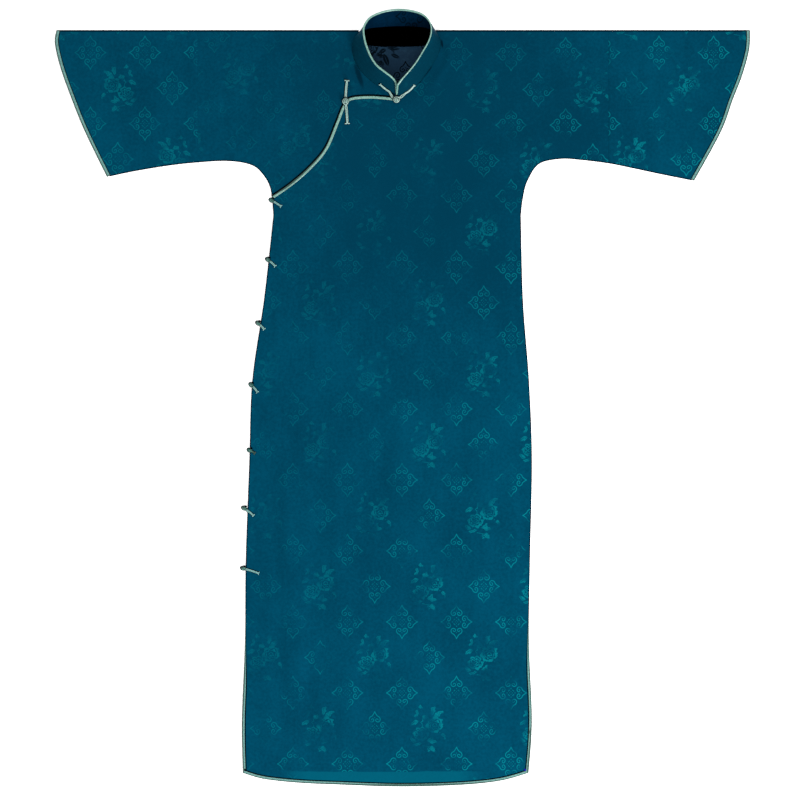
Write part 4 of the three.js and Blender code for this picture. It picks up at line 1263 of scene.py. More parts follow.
@dataclass(frozen=True)
class SatinFinish:
    """A plain satin of the bindings and the knotted cords, with diagonal streaks of painted sheen."""

    name: str
    light: Colour
    dark: Colour
    threads: float = 900.0
    gloss: float = 0.38
    shine: float = 0.5

    def make(self, figures: Figures) -> Material:
        """Builds the material.

        Args:
            figures: The shared node groups.

        Returns:
            The finished material.
        """
        material, w, shader = fresh_material(self.name)
        place = w.node("ShaderNodeTexCoord").outputs["Object"]
        x, y = w.split(place)
        # Painted sheen: diagonal streaks, lighter and darker, where the twisted bias satin catches the light
        twist = w.combine(w.times(w.add(x, y), 1.9), w.minus(x, y))
        sheen_streaks = w.ramp(w.noise(twist, 240.0, 3.0, 0.6), 0.4, 0.6)
        w.feed(shader.inputs["Base Color"], w.blend(sheen_streaks, opaque(self.dark), opaque(self.light)))
        w.feed(shader.inputs["Roughness"], w.math("MULTIPLY_ADD", sheen_streaks, -0.08, self.gloss))
        raise_threads(w, shader, w.use(figures.thread, Place=place, Threads=self.threads, Stretch=2.0), 0.4)
        shader.inputs["Specular IOR Level"].default_value = self.shine
        return material


class Finishes:
    """Every finish of the garment."""

    def __init__(self) -> None:
        """Builds each material once."""
        figures = Figures()
        own = (GROUND, DARK_GROUND, FIGURE)
        self.body = DamaskFinish("damask body", *own, hem=TURNED_HEM, crease_shades=NECK_CREASE_SHADES).make(figures)
        self.small = DamaskFinish("damask small front", *own, start=(-42.0, 12.0), strength=0.8,
                                  crease_shades=NECK_CREASE_SHADES).make(figures)
        self.reverse = DamaskFinish("damask reverse", (56, 92, 118), (40, 68, 94), BLACK, start=(4.2, 537.0),
                                    faint=1.0, shine=0.02, gloss=0.8, leaves=REVERSE_LEAVES).make(figures)
        self.sleeve_left = DamaskFinish("damask left sleeve", *own, -1.0, (433.4, 580.0),
                                        faint=0.6).make(figures)
        self.sleeve_right = DamaskFinish("damask right sleeve", *own, 1.0, (430.0, 580.0)).make(figures)
        self.collar = DamaskFinish("damask collar", (1, 76, 98), (1, 56, 76), FIGURE, 1.0, (-20.0, 560.0),
                                   strength=0.3, folded=False).make(figures)
        self.collar_inside = DamaskFinish("collar lining", (2, 44, 74), (1, 28, 50), (1, 8, 16), 1.0,
                                          (14.0, 640.0), faint=1.0, shine=0.02, folded=False).make(figures)
        # Painted shade for the rounded rims of the panels and sleeves
        self.edge_shade = DamaskFinish("damask edge, painted shade", (1, 20, 40), (1, 12, 28), FIGURE, strength=0.0,
                                    shine=0.03).make(figures)
        self.binding = SatinFinish("binding satin", (156, 206, 190), (106, 162, 148)).make(figures)
        # A darker copy of the binding satin for the cuffs and hem: painted as less lit than the lapel's and
        # collar's, which lie nearer the light
        self.binding_less_lit = SatinFinish("binding satin, cuffs and hem, painted as less lit", (124, 184, 176),
                                       (86, 142, 136)).make(figures)
        # The binding satin in painted shade, for the sides that turn from the light
        self.binding_shade = SatinFinish("binding satin, painted shade", (38, 98, 84),
                                         (12, 54, 48)).make(figures)
        self.cord = SatinFinish("knot satin", (192, 224, 214), (146, 190, 180), CORD_THREADS).make(figures)
        self.side_cord = SatinFinish("side cord satin", (158, 212, 206), (112, 172, 168),
                                     CORD_THREADS).make(figures)
        self.side_knot = SatinFinish("side knot satin", (72, 146, 130), (18, 74, 68),
                                     CORD_THREADS).make(figures)
        # Black for the stitches, and painted shade: the contact shadows round cords and bindings, the knots'
        # cores and the shadow by each side knot
        self.stitches_and_shade = SatinFinish("black stitches and painted shade", (1, 8, 14), (0, 3, 8), gloss=0.9,
                                      shine=0.0).make(figures)
        self.tack = SatinFinish("corner tack thread", (4, 8, 196), (2, 4, 120), CORD_THREADS,
                                shine=0.1).make(figures)
        # The neck facing: black cloth, its flat black without shine partly painted shade inside the back of
        # the neck
        self.facing = SatinFinish("neck facing cloth", BLACK, BLACK, gloss=0.9, shine=0.0).make(figures)


# The garment's sub-assemblies


@dataclass
class Body:
    """The back, the two fronts and the bindings that run round their lower edges."""

    finishes: Finishes
    tuck: float = 0.2
    back_below_fold: float = 2.3
    neck_inside: float = 2.0
    neck_below_shoulder: float = 6.0

    def lower_edge(self) -> Path:
        """Gives the cloth's lower end inside the binding."""
        bound = PLAN.bound_edge()
        inner = offset(bound, (BINDING_WIDTH - self.tuck) * PLAN.binding_share())
        return np.vstack([bound[:1], [[inner[0, 0], bound[0, 1]]], inner[1:-1],
                          [[inner[-1, 0], bound[-1, 1]]], bound[-1:]])

    def necklines(self) -> tuple[Path, Path]:
        """Gives the fronts' neck edges, right and left, inside the collar's foot."""
        base = offset(np.array([(row[0], row[1]) for row in COLLAR], dtype=float), self.neck_inside)
        at_shoulder = np.flatnonzero(base[:, 1] > SHOULDER_Y - self.neck_below_shoulder)
        return base[: at_shoulder[0]], base[at_shoulder[-1] + 1:]

    def left_edge(self, lower: Path) -> Path:
        """Gives the left side from the underarm down to the lower end."""
        side = PLAN.left_side[PLAN.left_side[:, 1] > SLIT_TOP_Y]
        return np.vstack([side[1:], lower[:1]])

    def right_seam(self, lower: Path) -> Path:
        """Gives the right side's seam from the lower end up to the sleeve join."""
        side = PLAN.right_side[PLAN.right_side[:, 1] > SLIT_TOP_Y]
        return np.vstack([lower[-1:], side[1:][::-1], PLAN.body_underarm(PLAN.underarm_right)[::-1]])

    def back_panel(self) -> Panel:
        """Lays out the back, flat on the surface."""
        top = SHOULDER_Y - self.back_below_fold
        lower, underarm = self.lower_edge(), PLAN.body_underarm(PLAN.underarm_left)
        return Panel(FORM.flat, [
            (np.vstack([underarm, self.left_edge(lower)]), Edge.SEAM),
            (lower, Edge.CUT),
            (self.right_seam(lower), Edge.SEAM),
            (np.array([PLAN.body_underarm(PLAN.underarm_right)[0], (SLEEVE_JOIN_X, top)]), Edge.JOIN),
            (np.array([(SLEEVE_JOIN_X, top), (-SLEEVE_JOIN_X, top)]), Edge.CUT),
            (np.array([(-SLEEVE_JOIN_X, top), underarm[0]]), Edge.JOIN),
        ], grid=7.0)

    def big_front(self) -> Panel:
        """Lays out the big front, from the right shoulder to the side opening."""
        inner = offset(PLAN.lapel, BINDING_WIDTH - self.tuck)
        neck, _ = self.necklines()
        lower = self.lower_edge()
        top_y = inner[-1, 1]
        under = PLAN.underarm_left
        opening = np.vstack([[inner[-1]], [[crossing(under, top_y), top_y]], under[under[:, 1] < top_y - 1],
                             self.left_edge(lower)])
        underarm = PLAN.body_underarm(PLAN.underarm_right)
        return Panel(FORM.upper, [
            (inner, Edge.CUT),
            (opening, Edge.SEAM),
            (lower, Edge.CUT),
            (self.right_seam(lower), Edge.SEAM),
            (np.array([underarm[0], (SLEEVE_JOIN_X, SHOULDER_Y)]), Edge.JOIN),
            (np.array([(SLEEVE_JOIN_X, SHOULDER_Y), (neck[-1, 0], SHOULDER_Y)]), Edge.FOLD),
            (np.vstack([[(neck[-1, 0], SHOULDER_Y)], neck[::-1], [(inner[0, 0] + SEAM_GAP, inner[0, 1])],
                        inner[:1]]), Edge.CUT),
        ])

    def small_front(self) -> Panel:
        """Lays out the small front, which runs on beneath the overlap."""
        _, neck = self.necklines()
        under = offset(PLAN.lapel, UNDERLAP)
        end_y = under[-1, 1]
        side = PLAN.left_outline()
        underarm = PLAN.body_underarm(PLAN.underarm_left)
        upto = underarm[underarm[:, 1] > end_y + 1][::-1]
        kept = under[1:-1][under[1:-1, 1] > end_y + 1]
        return Panel(FORM.lower, [
            (np.vstack([neck, [(CENTRE_FRONT_X, neck[-1, 1])], under[:1], kept,
                        [(crossing(side, end_y), end_y)]]), Edge.CUT),
            (np.vstack([[(crossing(side, end_y), end_y)], upto]), Edge.SEAM),
            (np.array([underarm[0], (-SLEEVE_JOIN_X, SHOULDER_Y)]), Edge.JOIN),
            (np.array([(-SLEEVE_JOIN_X, SHOULDER_Y), (neck[0, 0], SHOULDER_Y)]), Edge.FOLD),
            (np.array([(neck[0, 0], SHOULDER_Y), neck[0]]), Edge.CUT),
        ], grid=3.4)

    def build(self) -> dict[str, Piece]:
        """Makes the three panels, their bindings and the neck's facing.

        Returns:
            Each piece by its name.
        """
        # The third finish of each panel darkens its rounded rim: painted shade where the edge turns from the
        # light
        cloth = [self.finishes.body, self.finishes.reverse, self.finishes.edge_shade]
        reverse_up = [self.finishes.reverse, self.finishes.body, self.finishes.edge_shade]
        back, big, small = self.back_panel(), self.big_front(), self.small_front()
        return {
            "back": back.skin().piece("cloth_back", "damask", reverse_up, ["back_body"]),
            "front": big.skin().piece("cloth_front", "damask", cloth, ["front_body"]),
            "small": small.skin().piece("cloth_small_front", "damask", [self.finishes.small, *cloth[1:]],
                                        ["under_front"]),
            "facing": self.facing(),
            "lapel": self.tape("tape_lapel", PLAN.lapel, FORM.upper, "lapel_binding",
                               Tape(5.4, outer_line=2.2, inner_line=0.0, shaded=LAPEL_SHADED)),
            "hem_front": self.tape("tape_hem_front", PLAN.bound_edge(), FORM.upper, "hem_binding_front",
                                   Tape(narrows=True, shaded=HEM_SHADED, tacks=CORNER_TACKS)),
            "hem_back": self.tape("tape_hem_back", PLAN.bound_edge(), FORM.flat, "hem_binding_back",
                                  Tape(thickness=WALL, narrows=True, shaded=HEM_SHADED)),
        }

    def declare(self, pieces: dict[str, Piece], cords: Sequence[Piece]) -> None:
        """Works out each panel's size and area, and does nothing with them.

        Args:
            pieces: Not used.
            cords: Not used.
        """
        back, big, small = self.back_panel(), self.big_front(), self.small_front()
        back.size()
        back.area()
        small.size()
        small.area()
        big.size()
        big.area()

    def facing(self) -> Piece:
        """Makes the black facing inside the back of the neck, whose black is partly painted shade."""
        left, right, low = -66.0, 46.0, SHOULDER_Y - 28
        lower = through([(left, low + 3), (-40, low + 0.6), (-10, low), (20, low + 0.6), (right, low + 3)])
        outline = np.vstack([lower, [(right, SHOULDER_Y - 0.3), (left, SHOULDER_Y - 0.3), (left, low + 3)]])
        band = Panel(lambda x, y: np.full(np.shape(x), LAYER), [(outline, Edge.CUT)], thickness=1.0, grid=4.0)
        return band.skin(0, 0, 0).piece("facing_neck", "facing", [self.finishes.facing], ["neck_facing"])

    def tape(self, name: str, edge: Path, height: HeightAt, node: str, tape: "Tape") -> Piece:
        """Makes a folded binding inside an edge that runs with the cloth on its left.

        Args:
            name: The piece's name.
            edge: The outer edge.
            height: The underside's height.
            node: The node that it stands for.
            tape: The binding's section.

        Returns:
            The piece.
        """
        floor = height(edge[:, 0], edge[:, 1])
        shaded = np.interp(run_of(edge), *zip(*tape.shaded))
        share = PLAN.binding_share() if tape.narrows else np.ones(len(edge))
        rings, places = [], []
        for inside, up, place in tape.section():
            if 0 < inside < tape.width - tape.outside:
                inside = tape.cross_over(inside, shaded)
            rings.append(np.column_stack([offset(edge, inside * share), floor + up]))
            places.append(place)
        skins = [loft(rings, places)]
        for x, y, place in tape.tacks:
            top = float(height(np.array([x]), np.array([y]))[0]) + tape.thickness
            skins.append(filled_ball(np.array([x, y, top - 0.1]), tape.tack_reach, place))
        finishes = self.finishes
        # The hem's bindings take the satin painted as less lit
        light = finishes.binding_less_lit if tape.narrows else finishes.binding
        materials = [light, finishes.binding_shade, finishes.stitches_and_shade, finishes.tack]
        return Skin.joined(skins).piece(name, "binding", materials, [node])


@dataclass(frozen=True)
class Tape:
    """A binding folded round an edge: two soft ridges with a stitched dip, and a dark line of stitches beside
    it that paints the binding's shadow. Part of its top is painted shade where it turns from the light.
    """

    width: float = 4.6
    thickness: float = 1.4
    outside: float = 0.05
    outer_line: float = 0.0
    inner_line: float = 1.9
    line_height: float = 0.3
    narrows: bool = False
    shaded: tuple[tuple[float, float], ...] = ((0.0, 0.2), (1.0, 0.2))
    tacks: tuple[tuple[float, float, int], ...] = ()
    tack_reach: tuple[float, float, float] = (2.2, 1.9, 0.75)

    # The section over the top: shares of the width and the thickness, and the finish after each corner, where
    # 1 is the painted shade on the side turned from the light
    CROWN: ClassVar = [(0.0, 0.4, 1), (0.04, 0.72, 1), (0.12, 0.9, 1), (0.22, 1.0, 1),
                       (SHADED_SHARE, 1.06, 0), (0.44, 0.98, 0), (0.5, 0.84, 0), (0.57, 0.98, 0),
                       (0.69, 1.06, 0), (0.8, 0.98, 0), (0.9, 0.84, 0)]

    def cross_over(self, inside: float, shaded: np.ndarray) -> np.ndarray:
        """Moves a corner of the section to suit how much of it is turned from the light.

        Args:
            inside: How far inside the edge the corner is.
            shaded: The share of the width that is turned from the light, at each point of the edge.

        Returns:
            How far inside the edge the corner is at each point.
        """
        share = (inside + self.outside) / self.width
        low = shaded * share / SHADED_SHARE
        high = shaded + (share - SHADED_SHARE) * (1 - shaded) / (1 - SHADED_SHARE)
        return np.where(share <= SHADED_SHARE, low, high) * self.width - self.outside

    def section(self) -> list[tuple[float, float, int]]:
        """Gives the section's corners, from the outer edge over the top.

        Returns:
            How far inside the edge each corner is, its height, and the place of the finish after it.
        """
        # The dark lines at the edges are stitches that paint the binding's shadow
        start, end, stitched = -self.outer_line - self.outside, self.width - self.outside, self.inner_line > 0
        corners = [(0.1 - self.outside, 0.0, 2)]
        if self.outer_line > 0:
            corners = [(start, 0.04, 2), (start, 0.2, 2), (-self.outside, self.line_height, 1)]
        for across, up, place in (*self.CROWN, (0.97, 0.88, 2) if stitched else (0.97, 0.6, 1)):
            corners.append((across * self.width - self.outside, up * self.thickness, place))
        rises = ((0.0, 0.9), (self.inner_line, 0.94)) if stitched else ((0.0, self.line_height),)
        corners += [(end + beyond, rise * self.thickness, 2) for beyond, rise in rises]
        return [*corners, (end + self.inner_line, 0.0, 2)]


def loft(rings: Sequence[np.ndarray], finishes: Sequence[int]) -> Skin:
    """Joins long lines that run side by side into a closed strip with plain ends.

    Args:
        rings: The lines round the section, in order.
        finishes: The place of the finish after each line.

    Returns:
        The strip.
    """
    count, lines = len(rings[0]), len(rings)
    points = np.vstack(rings)
    faces: list[tuple[int, ...]] = []
    places: list[int] = []
    for k in range(lines):
        m = (k + 1) % lines
        for i in range(count - 1):
            faces.append((k * count + i, m * count + i, m * count + i + 1, k * count + i + 1))
            places.append(finishes[k])
    middle = np.array([ring[[0, -1]] for ring in rings]).mean(axis=0)
    start, stop = len(points), len(points) + 1
    for k in range(lines):
        m = (k + 1) % lines
        faces.append((start, m * count, k * count))
        faces.append((stop, k * count + count - 1, m * count + count - 1))
        places += [finishes[k], finishes[k]]
    return Skin(np.vstack([points, middle]), faces, places).facing_out()


@dataclass
class Sleeve:
    """One wide sleeve: a tube that lies flat, with a fold above and a seam below, and its cuff's binding."""

    name: str
    underarm: Path
    cuff: Path
    cloth: Material
    finishes: Finishes
    rows: int = 46
    columns: int = 46
    round_rows: int = 6
    join_gap: float = 0.02
    tuck: float = 0.2
    stitch_shadow: float = 2.5
    cuff_rise: float = 0.35

    # The finish of each ring of the cuff's binding: black stitches that paint the shadow beside the binding,
    # light satin, painted shade of satin turned from the light
    CUFF_ROWS: ClassVar = (2, 2, 0, 0, 0, 0, 0, 1, 1, 1)

    def sign(self) -> float:
        """Gives -1 for the left sleeve and 1 for the right one."""
        return math.copysign(1.0, self.cuff[0, 0])

    def edges(self, inside: float, outside: float = 0.0) -> tuple[Path, Path, Path, Path]:
        """Gives the sleeve's four sides: the join, the end, the fold and the seam.

        Args:
            inside: How far inside the cuff's edge the end is.
            outside: Where above 0, the join is replaced by a line this far inside the cuff's edge.

        Returns:
            The join and the end from fold to seam, and the fold and the seam from the join to the end.
        """
        end = offset(self.cuff, -self.sign() * inside)
        end[0, 1] = SHOULDER_Y
        if outside > 0:
            join = offset(self.cuff, -self.sign() * outside)
            join[0, 1] = SHOULDER_Y
            return join, end, np.array([join[0], end[0]]), np.array([join[-1], end[-1]])
        x = self.sign() * (SLEEVE_JOIN_X + self.join_gap)
        outer = self.underarm[np.abs(self.underarm[:, 0]) > SLEEVE_JOIN_X + 1][::-1]
        start = PLAN.body_underarm(self.underarm)[0]
        seam = np.vstack([[(x, start[1])], outer[:-1], end[-1:]])
        join = np.array([(x, SHOULDER_Y), (x, start[1])])
        return join, end, np.array([(x, SHOULDER_Y), end[0]]), seam

    def plan(self, sides: tuple[Path, Path, Path, Path], s: float, t: np.ndarray) -> Path:
        """Finds places of the plan between a sleeve's four sides.

        Args:
            sides: The sleeve's four sides.
            s: The share along the sleeve.
            t: The shares from the fold to the seam.

        Returns:
            The places.
        """
        join, end, fold, seam = sides
        t_col = t[:, None]
        place = at_shares(join, t) * (1 - s) + at_shares(end, t) * s
        place += at_shares(fold, np.array([s])) * (1 - t_col) + at_shares(seam, np.array([s])) * t_col
        place -= join[0] * (1 - s) * (1 - t_col) + end[0] * s * (1 - t_col)
        return place - join[-1] * (1 - s) * t_col - end[-1] * s * t_col

    def loop(self, sides: tuple[Path, Path, Path, Path], s: float, wall: float, inside: float) -> np.ndarray:
        """Gives one ring round the sleeve.

        Args:
            sides: The sleeve's four sides.
            s: The share along the sleeve.
            wall: The thickness of the cloth above the air.
            inside: How far inside the outer face the ring is.

        Returns:
            The ring's points: along the underside, round the seam, back along the roof and round the fold.
        """
        ends = self.plan(sides, s, np.array([0.0, 1.0]))
        depth = float(np.linalg.norm(ends[1] - ends[0]))
        bend = 2.0 / depth
        shares = np.linspace(bend, 1 - bend, self.columns)
        low = self.plan(sides, s, shares)
        roof = FORM.lower(low[:, 0], low[:, 1])
        top = roof + wall - inside
        lower = np.column_stack([low, np.full(len(low), inside)])
        upper = np.column_stack([low, top])[::-1]
        rounds = []
        for place, height, way in ((1 - bend, top[-1], 1.0), (bend, top[0], -1.0)):
            turns = np.linspace(0, math.pi, self.round_rows + 2)[1:-1]
            reach = place + way * (bend - inside / depth) * np.sin(turns)
            middle, half = (height + inside) / 2, (height - inside) / 2
            heights = middle - way * half * np.cos(turns)
            rounds.append(np.column_stack([self.plan(sides, s, reach), heights]))
        return np.vstack([lower, rounds[0], upper, rounds[1]])

    def tube(self, sides: tuple[Path, Path, Path, Path], rows: Sequence[int], wall: float, lining: int,
             rim: int) -> Skin:
        """Makes the closed wall of a tube, open at both ends.

        Args:
            sides: The tube's four sides.
            rows: The place of the finish outside, ring by ring from the join to the end.
            wall: The thickness of the cloth above the air.
            lining: The place of the finish inside.
            rim: The place of the finish along the fold and the seam.

        Returns:
            The tube.
        """
        shares = np.linspace(0, 1, len(rows) + 1)
        outer = np.array([self.loop(sides, s, wall, 0.0) for s in shares])
        inner = np.array([self.loop(sides, s, wall, min(wall, WALL) * 0.98) for s in shares])
        count = outer.shape[1]
        points = np.vstack([outer.reshape(-1, 3), inner.reshape(-1, 3)])
        shift = len(shares) * count
        faces: list[tuple[int, ...]] = []
        finishes: list[int] = []
        for i, outside in enumerate(rows):
            for k in range(count):
                m = (k + 1) % count
                quad = (i * count + k, i * count + m, (i + 1) * count + m, (i + 1) * count + k)
                faces.append(quad)
                faces.append(tuple(shift + j for j in reversed(quad)))
                bent = k >= 2 * self.columns + self.round_rows - 1
                bent = bent or self.columns - 1 <= k < self.columns + self.round_rows
                finishes += [rim if bent else outside, lining]
        last = len(rows) * count
        for k in range(count):
            m = (k + 1) % count
            faces.append((k, shift + k, shift + m, m))
            faces.append((last + m, shift + last + m, shift + last + k, last + k))
            finishes += [rows[0], rows[-1]]
        return Skin(points, faces, finishes).facing_out()

    def build(self) -> dict[str, Piece]:
        """Makes the sleeve and its cuff's binding.

        Returns:
            Each piece by its name.
        """
        sides = self.edges(BINDING_WIDTH - self.tuck)
        # The third cloth finish darkens the rounded fold and seam: painted shade
        skin = self.tube(sides, [0] * self.rows, WALL, 1, 2)
        cloths = [self.cloth, self.finishes.reverse, self.finishes.edge_shade]
        piece = skin.piece(f"cloth_sleeve_{self.name}", "damask", cloths, [f"sleeve_{self.name}"])
        satins = [self.finishes.binding_less_lit, self.finishes.binding_shade, self.finishes.stitches_and_shade]
        # The cuff's binding also takes painted shade along its fold and seam
        cuff = self.tube(self.edges(0.0, BINDING_WIDTH + self.stitch_shadow), self.CUFF_ROWS,
                         WALL + self.cuff_rise, 1, 1)
        tape = cuff.piece(f"tape_cuff_{self.name}", "binding", satins, [f"cuff_binding_{self.name}"])
        return {"sleeve": piece, "cuff": tape}


@dataclass
class Collar:
    """The stiff band round the neck and its binding."""

    finishes: Finishes
    wall: float = 2.0
    columns: int = 150
    rows: int = 12
    foot_shade_rise: float = 0.24
    piping_away: float = 1.3
    piping_from: float = 0.14
    piping_section: tuple[float, float, int] = (1.75, 1.6, 14)
    foot: Path = field(init=False)
    top: Path = field(init=False)

    def __post_init__(self) -> None:
        """Draws the collar's foot and top through its table."""
        lows, highs = [], []
        for base_x, base_y, top_x, top_y, height in COLLAR:
            here = (np.array([float(base_x)]), np.array([float(base_y)]))
            cloth = float((FORM.lower if base_x < CENTRE_FRONT_X else FORM.upper)(*here)[0]) + WALL
            z = cloth + SEAM_GAP
            run = math.hypot(top_x - base_x, top_y - base_y)
            lows.append((base_x, base_y, z))
            highs.append((top_x, top_y, z + math.sqrt(height**2 - run**2)))
        fine = self.columns // (len(COLLAR) - 1) + 1
        self.foot = through(lows, fine, centripetal=True)
        self.top = through(highs, fine, centripetal=True)
        self.lap()

    def lap(self) -> None:
        """Brings the two front ends together, the right one over the left one."""
        _, out = self.frames()
        share = np.linspace(0, 1, len(self.foot))
        right = smoothstep(share, 0.07, 0.0)[:, None]
        left = smoothstep(share, 0.93, 1.0)[:, None]
        over, under = np.array([-2.6, 0.6, 0.0]), np.array([2.0, 0.0, 0.0])
        for line, lean in ((self.foot, 1.0), (self.top, 0.35)):
            line += right * (over * lean + out * 0.9) + left * (under * lean - out * 1.3)

    def frames(self) -> tuple[np.ndarray, np.ndarray]:
        """Gives the upward and outward directions along the collar."""
        up = self.top - self.foot
        up /= np.linalg.norm(up, axis=1)[:, None]
        round_it = np.gradient(self.foot, axis=0) + np.gradient(self.top, axis=0)
        out = np.cross(round_it, up)
        return up, out / np.linalg.norm(out, axis=1)[:, None]

    def build(self) -> dict[str, Piece]:
        """Makes the band and its binding.

        Returns:
            Each piece by its name.
        """
        up, out = self.frames()
        count = len(self.foot)
        shares = np.linspace(0, 1, self.rows + 1)
        puff = 0.35 * np.sin(np.pi * shares) ** 0.5
        wave = 0.25 * np.sin(np.linspace(0, 9.3, count)) * np.sin(np.linspace(0, 23.0, count) + 1.0)
        faces_out, faces_in = [], []
        for share, swell in zip(shares, puff):
            place = self.foot + (self.top - self.foot) * share
            sway = wave[:, None] * math.sin(math.pi * share)
            faces_out.append(place + out * (self.wall / 2 + swell) + out * sway)
            faces_in.append(place - out * (self.wall / 2 + swell * 0.4) + out * sway)
        outer, inner = np.array(faces_out), np.array(faces_in)
        points = np.vstack([outer.reshape(-1, 3), inner.reshape(-1, 3)])
        shift = (self.rows + 1) * count
        faces: list[tuple[int, ...]] = []
        finishes: list[int] = []
        for i in range(self.rows):
            for k in range(count - 1):
                quad = (i * count + k, i * count + k + 1, (i + 1) * count + k + 1, (i + 1) * count + k)
                faces.append(quad)
                faces.append(tuple(shift + j for j in reversed(quad)))
                # Painted shade: the inside of the collar's foot at the back takes the black facing finish
                behind = abs(k / (count - 1) - 0.5) < 0.2 and shares[i] < self.foot_shade_rise
                finishes += [0, 2 if behind else 1]
        top = self.rows * count
        for k in range(count - 1):
            faces.append((k + 1, k, shift + k, shift + k + 1))
            faces.append((top + k, top + k + 1, shift + top + k + 1, shift + top + k))
            finishes += [0, 0]
        for i in range(self.rows):
            a, b = i * count, (i + 1) * count
            faces.append((a, b, shift + b, shift + a))
            a, b = a + count - 1, b + count - 1
            faces.append((b, a, shift + a, shift + b))
            finishes += [0, 0]
        cloths = [self.finishes.collar, self.finishes.collar_inside, self.finishes.facing]
        band = Skin(points, faces, finishes).facing_out().piece("band_collar", "damask", cloths, ["collar"])
        return {"band": band, "piping": self.binding(up, out)}

    def declare(self, pieces: dict[str, Piece], cords: Sequence[Piece]) -> None:
        """Does nothing.

        Args:
            pieces: Not used.
            cords: Not used.
        """

    def binding(self, up: np.ndarray, out: np.ndarray) -> Piece:
        """Makes the folded binding: up one front end, round the top and down the other end.

        Args:
            up: The upward direction along the collar.
            out: The outward direction along it.

        Returns:
            The piece.
        """
        away = self.piping_away
        count = len(self.foot)
        clear = max(2, round(0.03 * count))
        rows: list[np.ndarray] = []
        outs: list[np.ndarray] = []
        for k, sense in ((0, -1.0), (count - 1, 1.0)):
            aside = np.cross(up[k], out[k]) * away * sense
            low = self.foot[k] + (self.top[k] - self.foot[k]) * self.piping_from
            high = self.top[k] - up[k] * away
            both = [low + (high - low) * share + aside for share in (0, 0.2, 0.4, 0.6, 0.8, 1)]
            both.append(self.top[k] + up[k] * away * 0.75 + aside * 0.7)
            rows.append(np.array(both if k == 0 else both[::-1]))
            outs.append(np.tile(out[k], (len(both), 1)))
        rim = slice(clear, count - clear)
        path = np.vstack([rows[0], self.top[rim] + up[rim] * away, rows[1]])
        across = np.vstack([outs[0], out[rim], outs[1]])
        fine = even(through(path, 4, centripetal=True), 2.0)
        run = run_of(path)
        spread = np.linspace(0, 1, len(fine))
        face = np.stack([np.interp(spread, run / run[-1], across[:, i]) for i in range(3)], axis=1)
        side, lift = turning_frames(fine, face)
        section = round_section(*self.piping_section)
        slim = 1 - 0.3 * smoothstep(spread, 0.06, 0.12) * smoothstep(spread, 0.42, 0.34)
        return sweep(fine, side * slim[:, None], lift * slim[:, None], section).piece(
            "tape_collar", "binding", [self.finishes.binding], ["collar_binding"])


def upright(places: np.ndarray) -> np.ndarray:
    """Gives the upward direction at each place."""
    return np.tile((0.0, 0.0, 1.0), (len(places), 1))


